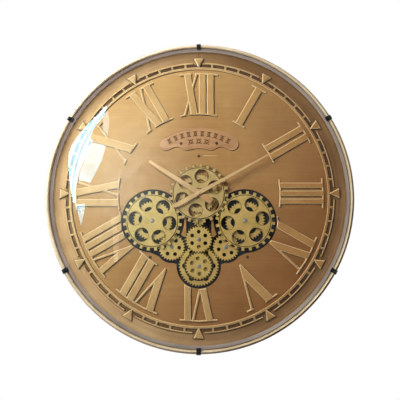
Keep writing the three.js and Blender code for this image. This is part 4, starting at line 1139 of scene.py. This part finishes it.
# One ornament: a lozenge frame with a short bar at each corner
def motifMesh(s, row, wide, back, front):
    thick, tall, soft = s["stroke"], s["tall"], s["soft"]
    across, up = wide - thick, tall - 1.6 * thick
    frame = [[(-wide, row), (0, row - tall), (wide, row), (0, row + tall)],
             [(-across, row), (0, row + up), (across, row), (0, row - up)]]
    parts = [plateMesh("frame", frame, back, front, soft, 0)]
    long, short = thick * 0.8, thick * 0.4
    for side in (-1, 1):
        for end in (-1, 1):
            x, y = side * (wide - thick * 0.4), row + end * (tall - thick * 0.5)
            bar = rectangle(x - long, x + long, y - short, y + short)
            parts.append(plateMesh("bar", [bar], back, front - 0.02, soft, 0))
    return joined("motif", parts)


def makePlaque(s):
    outline = plaqueOutline(s)
    face = s["back"] + s["sheet"]
    holes = [circle(x, s["screwUp"], s["screwHole"], 16) for x in (-s["screwSide"], s["screwSide"])]
    plate = plateMesh("plaque", [outline, *holes], s["back"], face, s["plateEdge"])
    borders = [inset(outline, s["rimInset"]), inset(outline, s["rimInset"] + s["borderWidth"])]
    rim = plateMesh("plaqueRim", borders, face - s["rimSunk"], face + s["border"], s["rimEdge"])
    finishPiece("plaquePlate", joined("plaquePlate", [plate, rim]), "case", "plaqueCopper",
                "plaque_copper", "plaque")
    # Painted shadow under the plaque
    makePaintedShadow("plaqueWash", [outline], "plaque")
    marks = []
    for row, count, step, wide in s["rows"]:
        mark = motifMesh(s, row, wide, face - s["markSunk"], face + s["markRise"])
        marks.append(turnedMesh(mark, "markBrown", count, -(count - 1) / 2 * step * deg, step * deg))
    finishPiece("plaqueOrnament", joined("plaqueOrnament", marks), "case", "markBrown", "plaque_copper",
                "plaque", smooth=20)


makePlaque(plaqueSettings)


# Screws: a slotted pan head, copied to every screw through the dial and the plaque

screwSettings = {
    "head": 2.7, "rise": 1.4, "shank": 1.4, "slot": 0.55, "length": 6, "dialSeat": 36.3, "plaqueSeat": 38.6,
    "spread": 1.2, "seed": 11,
}


def makeScrews(s, names):
    rise, head, shank, end = s["rise"], s["head"], s["shank"], -s["length"]
    profile = [(0, rise), (head * 0.55, rise), (head * 0.82, rise * 0.82), (head, rise * 0.4), (head, 0),
               (shank, 0), (shank, end + 1), (shank * 0.5, end), (0, end)]
    body = latheMesh("screw", profile, 24, closed=False)
    slot = prismMesh(rectangle(-4, 4, -s["slot"] / 2, s["slot"] / 2), rise * 0.45, rise + 1)
    screw = merged(cutAway(body, [slot]))
    seats = [s["plaqueSeat" if name.startswith("plaque") else "dialSeat"] for name in names]
    places = [at(*middleOf(name), seat) for name, seat in zip(names, seats)]
    mesh = pointMesh(screw, "screwBronze", places, s["spread"], s["seed"])
    finishPiece("panScrews", mesh, "case", "screwBronze", "dark_screw", *names)


makeScrews(screwSettings, panSettings["screws"])
print("plaque and screws made")


# Gears: each outline from its count of teeth and the module, each turn from the gear that drives it

gearSettings = {
    "module": 1.8, "tip": 0.8, "root": 1.2, "gap": 1.45, "backlash": 0.34, "thick": 3,
    "rear": 31.7, "front": 37, "drive": 27.85, "bore": 3.5, "worn": 0.42,
    "large": 42, "small": 28, "idler": 14, "driveTeeth": 32, "sideAngle": 33.9, "cogAngle": 53.6,
    "fineWindow": (19.2, 8.6), "smallWindow": (14.6, 3.3), "lowerWindow": (27.5, 4.6),  # ring and radius
    "collar": 7, "shade": (20, 28.4, 0.2, 0.15), "idlerBore": 3, "idlerArbor": 3.1,
    "hubBore": 5.35, "hub": 9, "hubBack": 38, "hubFront": 46.65, "hubEdge": 0.3, "tipCorner": 0.35,
}
cogSettings = {
    "teeth": 24, "tip": 57.8, "root": 52.1, "toothWidth": 6.4, "disc": 49.2, "rise": 1.5,
    "window": (33.6, 13.1), "edge": 0.6, "line": 1.0, "topBack": 42.15, "topBore": 9.3,
    "phase": {"left": 82.1, "right": 84.8, "top": 86},
    "windowPhase": {"left": 52.3, "right": 67.8, "top": 80},
}


def gearOutline(teeth, s):
    pitch = s["module"] * teeth / 2
    depth = s["gap"] * s["module"]
    tip, root = pitch + s["tip"] * s["module"], pitch - s["root"] * s["module"]
    atPitch = math.pi / (2 * teeth) - s["backlash"] / (2 * pitch)
    taper = (math.pi / teeth - atPitch) / depth

    def half(radius):
        return atPitch - taper * (radius - pitch)

    corner = tip - s["tipCorner"]
    tooth = [(root, -1.0), (corner, -1.0), (tip, -0.45), (tip, 0.45), (corner, 1.0), (root, 1.0)]
    middles = [2 * math.pi * k / teeth for k in range(teeth)]
    return [polar(radius, middle + share * half(radius)) for middle in middles for radius, share in tooth]


def windowRing(ring, radius, phase=0.0, steps=28):
    return [circle(*polar(ring, phase + math.pi * k / 3), radius, steps) for k in range(6)]


def gearMesh(teeth, back, s, phase, holes):
    mesh = plateMesh("gear", [gearOutline(teeth, s), *holes], back, back + s["thick"], s["worn"], 0)
    return moved(edged(mesh), 0, 0, phase)


# The turn of a gear, in radians, that sets its teeth in the gaps of the one that drives it
def meshPhase(driverTeeth, driverPhase, teeth, angle):
    ahead = (driverPhase - angle) * driverTeeth / teeth
    return angle + math.pi + math.pi / teeth - ahead


def gearPhases(s):
    up, down = math.pi / 2, -math.pi / 2
    large, small = s["large"], s["small"]
    phases = {"top": up, "lower": up}
    phases["idler"] = meshPhase(large, up, s["idler"], down)
    phases["centre"] = meshPhase(s["idler"], phases["idler"], small, down)
    phases["lowerFront"] = meshPhase(small, phases["centre"], small, down)
    rise, lean = s["sideAngle"] * deg, s["cogAngle"] * deg
    for side, sideAngle, cogAngle in (("left", math.pi - rise, math.pi - lean), ("right", rise, lean)):
        phases[f"{side}_side"] = meshPhase(large, up, small, sideAngle)
        phases[f"{side}_cog"] = meshPhase(small, phases[f"{side}_side"], large, cogAngle)
    return phases


# A cog wheel: square teeth, a raised face disc with a dark line round it as painted shadow, and six windows;
# the sloping edges take painted shade
def cogMesh(s, side, back, bore):
    phase, windowPhase = s["phase"][side] * deg, s["windowPhase"][side] * deg
    half, front = s["toothWidth"] / 2, back + gearSettings["thick"]
    foot, tip = math.asin(half / s["root"]), math.asin(half / s["tip"])
    outline = []
    for k in range(s["teeth"]):
        middle = phase + 2 * math.pi * k / s["teeth"]
        outline += [polar(s["root"], middle - foot), polar(s["tip"], middle - tip),
                    polar(s["tip"], middle + tip), polar(s["root"], middle + foot)]
    holes = [*windowRing(*s["window"], windowPhase, 40), circle(0, 0, bore)]
    wheel = plateMesh("cog", [outline, *holes], back, front, s["edge"], 0)
    rounds = [circle(0, 0, s["disc"], 96), *holes]
    face = plateMesh("cogFace", rounds, front - 0.6, front + s["rise"], s["edge"], 0)
    line = allSecond(tubeMesh("line", s["disc"] - 0.1, s["disc"] + s["line"], front - 0.3, front + 0.12, 96))
    return joined("cog", [edged(wheel), edged(face), line])


arborSettings = {
    "radius": 3.2, "head": 3.9, "gap": 0.3, "rise": 1.2, "slot": 0.8, "slotDepth": 0.6, "foot": 23,
}


# A steel arbor with a slotted head that holds its gears
def arborMesh(s, front):
    radius, head, foot = s["radius"], s["head"], s["foot"]
    seat = front + s["gap"]
    top = seat + s["rise"]
    profile = [(0, top), (head * 0.5, top), (head * 0.85, top - 0.25), (head, top - 0.6), (head, seat),
               (radius, seat), (radius, foot + 1), (radius - 0.6, foot), (0, foot)]
    slot = prismMesh(rectangle(-7, 7, -s["slot"] / 2, s["slot"] / 2), top - s["slotDepth"], top + 1)
    return merged(cutAway(latheMesh("arbor", profile, 28, closed=False), [slot]))


# A gear's sloping edges take brassShade, painted shade that outlines its teeth
def finishGear(name, mesh, body, nodeName, metal="gearBrass"):
    finishPiece(name, moved(mesh, *gearPlaces[body]), body, f"{metal} brassShade", "gear_brass", nodeName)


def finishArbor(name, front, turn, body, nodeName, **changes):
    mesh = moved(arborMesh({**arborSettings, **changes}, front), *gearPlaces[body], turn)
    finishPiece(name, mesh, body, "plainSteel", "plain_steel", nodeName)


def makeGears(s, cog):
    phases = gearPhases(s)
    front, rear = s["front"], s["rear"]
    frontFace, rearFace = front + s["thick"], rear + s["thick"]
    bore = circle(0, 0, s["bore"], 24)

    def largeGear(back, key, windows, hole=bore):
        return gearMesh(s["large"], back, s, phases[key], [*windows, hole])

    def smallGear(back, key):
        return gearMesh(s["small"], back, s, phases[key], [*windowRing(*s["smallWindow"], 0, 20), bore])

    def fineWindows(side, key):
        return windowRing(*s["fineWindow"], cog["windowPhase"][side] * deg - phases[key])

    for side in ("left", "right"):
        body = f"{side}_cog"
        fine = largeGear(rear, body, fineWindows(side, body))
        collar = tubeMesh("collar", s["bore"], s["collar"], rearFace - 1, front - 0.3)
        finishGear(f"{side}FineGear", joined("fine", [fine, collar]), body, f"{side}_fine_gear")
        finishGear(f"{side}CogWheel", cogMesh(cog, side, front, s["bore"]), body, f"{side}_cog_wheel")
        finishArbor(f"{side}CogArbor", frontFace + cog["rise"], 0.5, body, f"{side}_fine_gear")
        body = f"{side}_side"
        finishGear(f"{side}SideGear", smallGear(rear, body), body, f"{side}_side_gear")
        finishArbor(f"{side}SideArbor", rearFace - 0.3, -0.6, body, f"{side}_side_gear")

    large = largeGear(rear, "lower", windowRing(*s["lowerWindow"], math.pi / 6, 20))
    # Painted shadow of the front gear on the large gear behind it
    inner, outer, drop, rise = s["shade"]
    shade = allSecond(tubeMesh("shade", inner, outer, rearFace - drop, rearFace + rise, 72))
    finishGear("lowerFineGear", joined("lower", [large, shade]), "lower", "lower_fine_gear")
    finishGear("lowerFrontGear", smallGear(front, "lowerFront"), "lower", "lower_front_gear")
    finishArbor("lowerArbor", frontFace, 1.2, "lower", "lower_fine_gear")

    finishGear("centreGear", smallGear(front, "centre"), "centre", "centre_gear")
    # The drive wheel behind the centre gear is all in painted shade
    drive = gearMesh(s["driveTeeth"], s["drive"], s, 0.0, [bore])
    finishGear("driveWheel", drive, "centre", "centre_drive_wheel", "brassShade")
    finishArbor("centreArbor", frontFace, 0.2, "centre", "centre_drive_wheel")

    idler = gearMesh(s["idler"], front, s, phases["idler"], [circle(0, 0, s["idlerBore"], 24)])
    finishGear("idlerPinion", idler, "idler", "idler_pinion")
    finishArbor("idlerArbor", frontFace - 0.3, 0.9, "idler", "idler_pinion", radius=s["idlerArbor"])

    inside, hub, end, e = s["hubBore"], s["hub"], s["hubFront"], s["hubEdge"]
    fine = largeGear(front, "top", fineWindows("top", "top"), circle(0, 0, inside, 32))
    profile = [(inside, s["hubBack"]), (hub, s["hubBack"]), (hub, end - e), (hub - e, end), (inside, end)]
    fine = joined("topFine", [fine, latheMesh("hub", profile, 40)])
    finishGear("topFineGear", fine, "top_cog", "top_fine_gear", "topBrass")
    wheel = cogMesh(cog, "top", cog["topBack"], cog["topBore"])
    finishGear("topCogWheel", wheel, "top_cog", "top_cog_wheel", "topBrass")


makeGears(gearSettings, cogSettings)
print("gears made")


# Hands, bush and nut

handSettings = {
    "minutePlane": 52.95, "hourPlane": 49.35, "sheet": 1.4, "hourAngle": 303, "foot": 25,
    "hourLength": 114.7, "hourTail": 30.4, "hourWidth": 10.6, "hourRoot": 6, "hourTip": 6,
    "tailWidth": 13, "tailRoot": 5.8, "tailFlare": 0.4, "edge": 0.3,
    "pipe": (2.05, 3.4), "cap": 3.4, "arbor": 1.7, "bush": (3.75, 5), "bushFront": 48.7,
    "nutAcross": 16, "nutBore": 5.3, "nutBack": 46.95, "nutFront": 48.75, "nutEdge": 0.35,
}


def makeHands(s):
    turn = -s["hourAngle"] * deg
    wide, tip, tail = s["hourWidth"] / 2, s["hourTip"] / 2, s["tailWidth"] / 2
    plane, foot, (inner, outer) = s["hourPlane"], s["foot"], s["pipe"]
    face = plane + s["sheet"]
    root, length = -s["hourRoot"], s["hourLength"]
    outline = [(-wide, root), (wide, root), (tip, length), (-tip, length)]
    blade = plateMesh("blade", [outline, circle(0, 0, inner, 20)], plane, face, s["edge"])
    pipe = tubeMesh("pipe", inner, outer, foot, plane + 0.2, 28)
    finishPiece("hourHand", moved(joined("hour", [blade, pipe]), 0, 0, turn), "hour", "handTan",
                "hand_tan", "hour_hand")
    root, end, flare = -s["tailRoot"], -s["hourTail"], wide + s["tailFlare"]
    outline = [(-tail, end), (tail, end), (flare, root), (-flare, root)]
    mesh = plateMesh("tail", [outline], plane + 0.02, face - 0.02, s["edge"])
    finishPiece("hourTail", moved(mesh, 0, 0, turn), "hour", "tailCopper", "hand_tan", "hour_hand")
    finishPiece("minuteHand", softenedMesh("minute_hand", 0.12, 1, 40), "minute", "handTan", "hand_tan",
                "minute_hand", smooth=8)
    low, cap, arbor = s["minutePlane"] + s["sheet"] + 0.3, s["cap"], s["arbor"]
    profile = [(0, low + 2), (1.8, low + 1.9), (3.0, low + 1.3), (cap, low + 0.5), (cap, low), (arbor, low),
               (arbor, foot), (0, foot)]
    finishPiece("handCap", latheMesh("cap", profile, 32, closed=False), "minute", "handTan", "hand_tan",
                "minute_arbor")
    (inner, outer), front = s["bush"], s["bushFront"]
    profile = [(inner, foot), (outer, foot), (outer, front - 0.3), (outer - 0.3, front), (inner, front)]
    finishPiece("handBush", latheMesh("bush", profile, 36), "case", "plainSteel", "plain_steel", "hand_bush")
    outlines = [circle(0, 0, s["nutAcross"] / math.sqrt(3), 6), circle(0, 0, s["nutBore"], 32)]
    nut = plateMesh("nut", outlines, s["nutBack"], s["nutFront"], s["nutEdge"], 2)
    finishPiece("bushNut", nut, "case", "plainSteel", "plain_steel", "bush_nut")


makeHands(handSettings)
print("hands made")


# Tray, movement, motor and rear housing: the CAD solids with softened edges

softSettings = {  # body, finish, slot, width of the soft edge
    "gear_tray": ("case", "blackPlastic", "black_plastic", 0.4),
    "motor_pinion": ("motor", "blackPlastic", "black_plastic", 0.15),
    "quartz_movement": ("case", "blackPlastic", "black_plastic", 1.0),
    "gear_motor": ("case", "plainSteel", "plain_steel", 0.5),
    "rear_housing": ("case", "blackPlastic", "black_plastic", 0.5),
    "battery_door": ("door", "blackPlastic", "black_plastic", 0.12),
    **{f"battery_cell_{k}": ("case", "cellJacket", "cell_jacket", 0.4) for k in (1, 2, 3)},
    "setting_knob": ("knob", "blackPlastic", "switch_plastic", 0.3),
    "switch_slider": ("switch", "plainSteel", "plain_steel", 0.2),
    "switch_body": ("case", "blackPlastic", "switch_plastic", 0.5),
    "hanger_plate": ("case", "plainSteel", "plain_steel", 0.3),
}


def camel(name):
    first, *rest = name.split("_")
    return first + "".join(word.capitalize() for word in rest)


for name, (body, look, slotName, width) in softSettings.items():
    finishPiece(camel(name), softenedMesh(name, width), body, look, slotName, name)
print("rear pieces made")
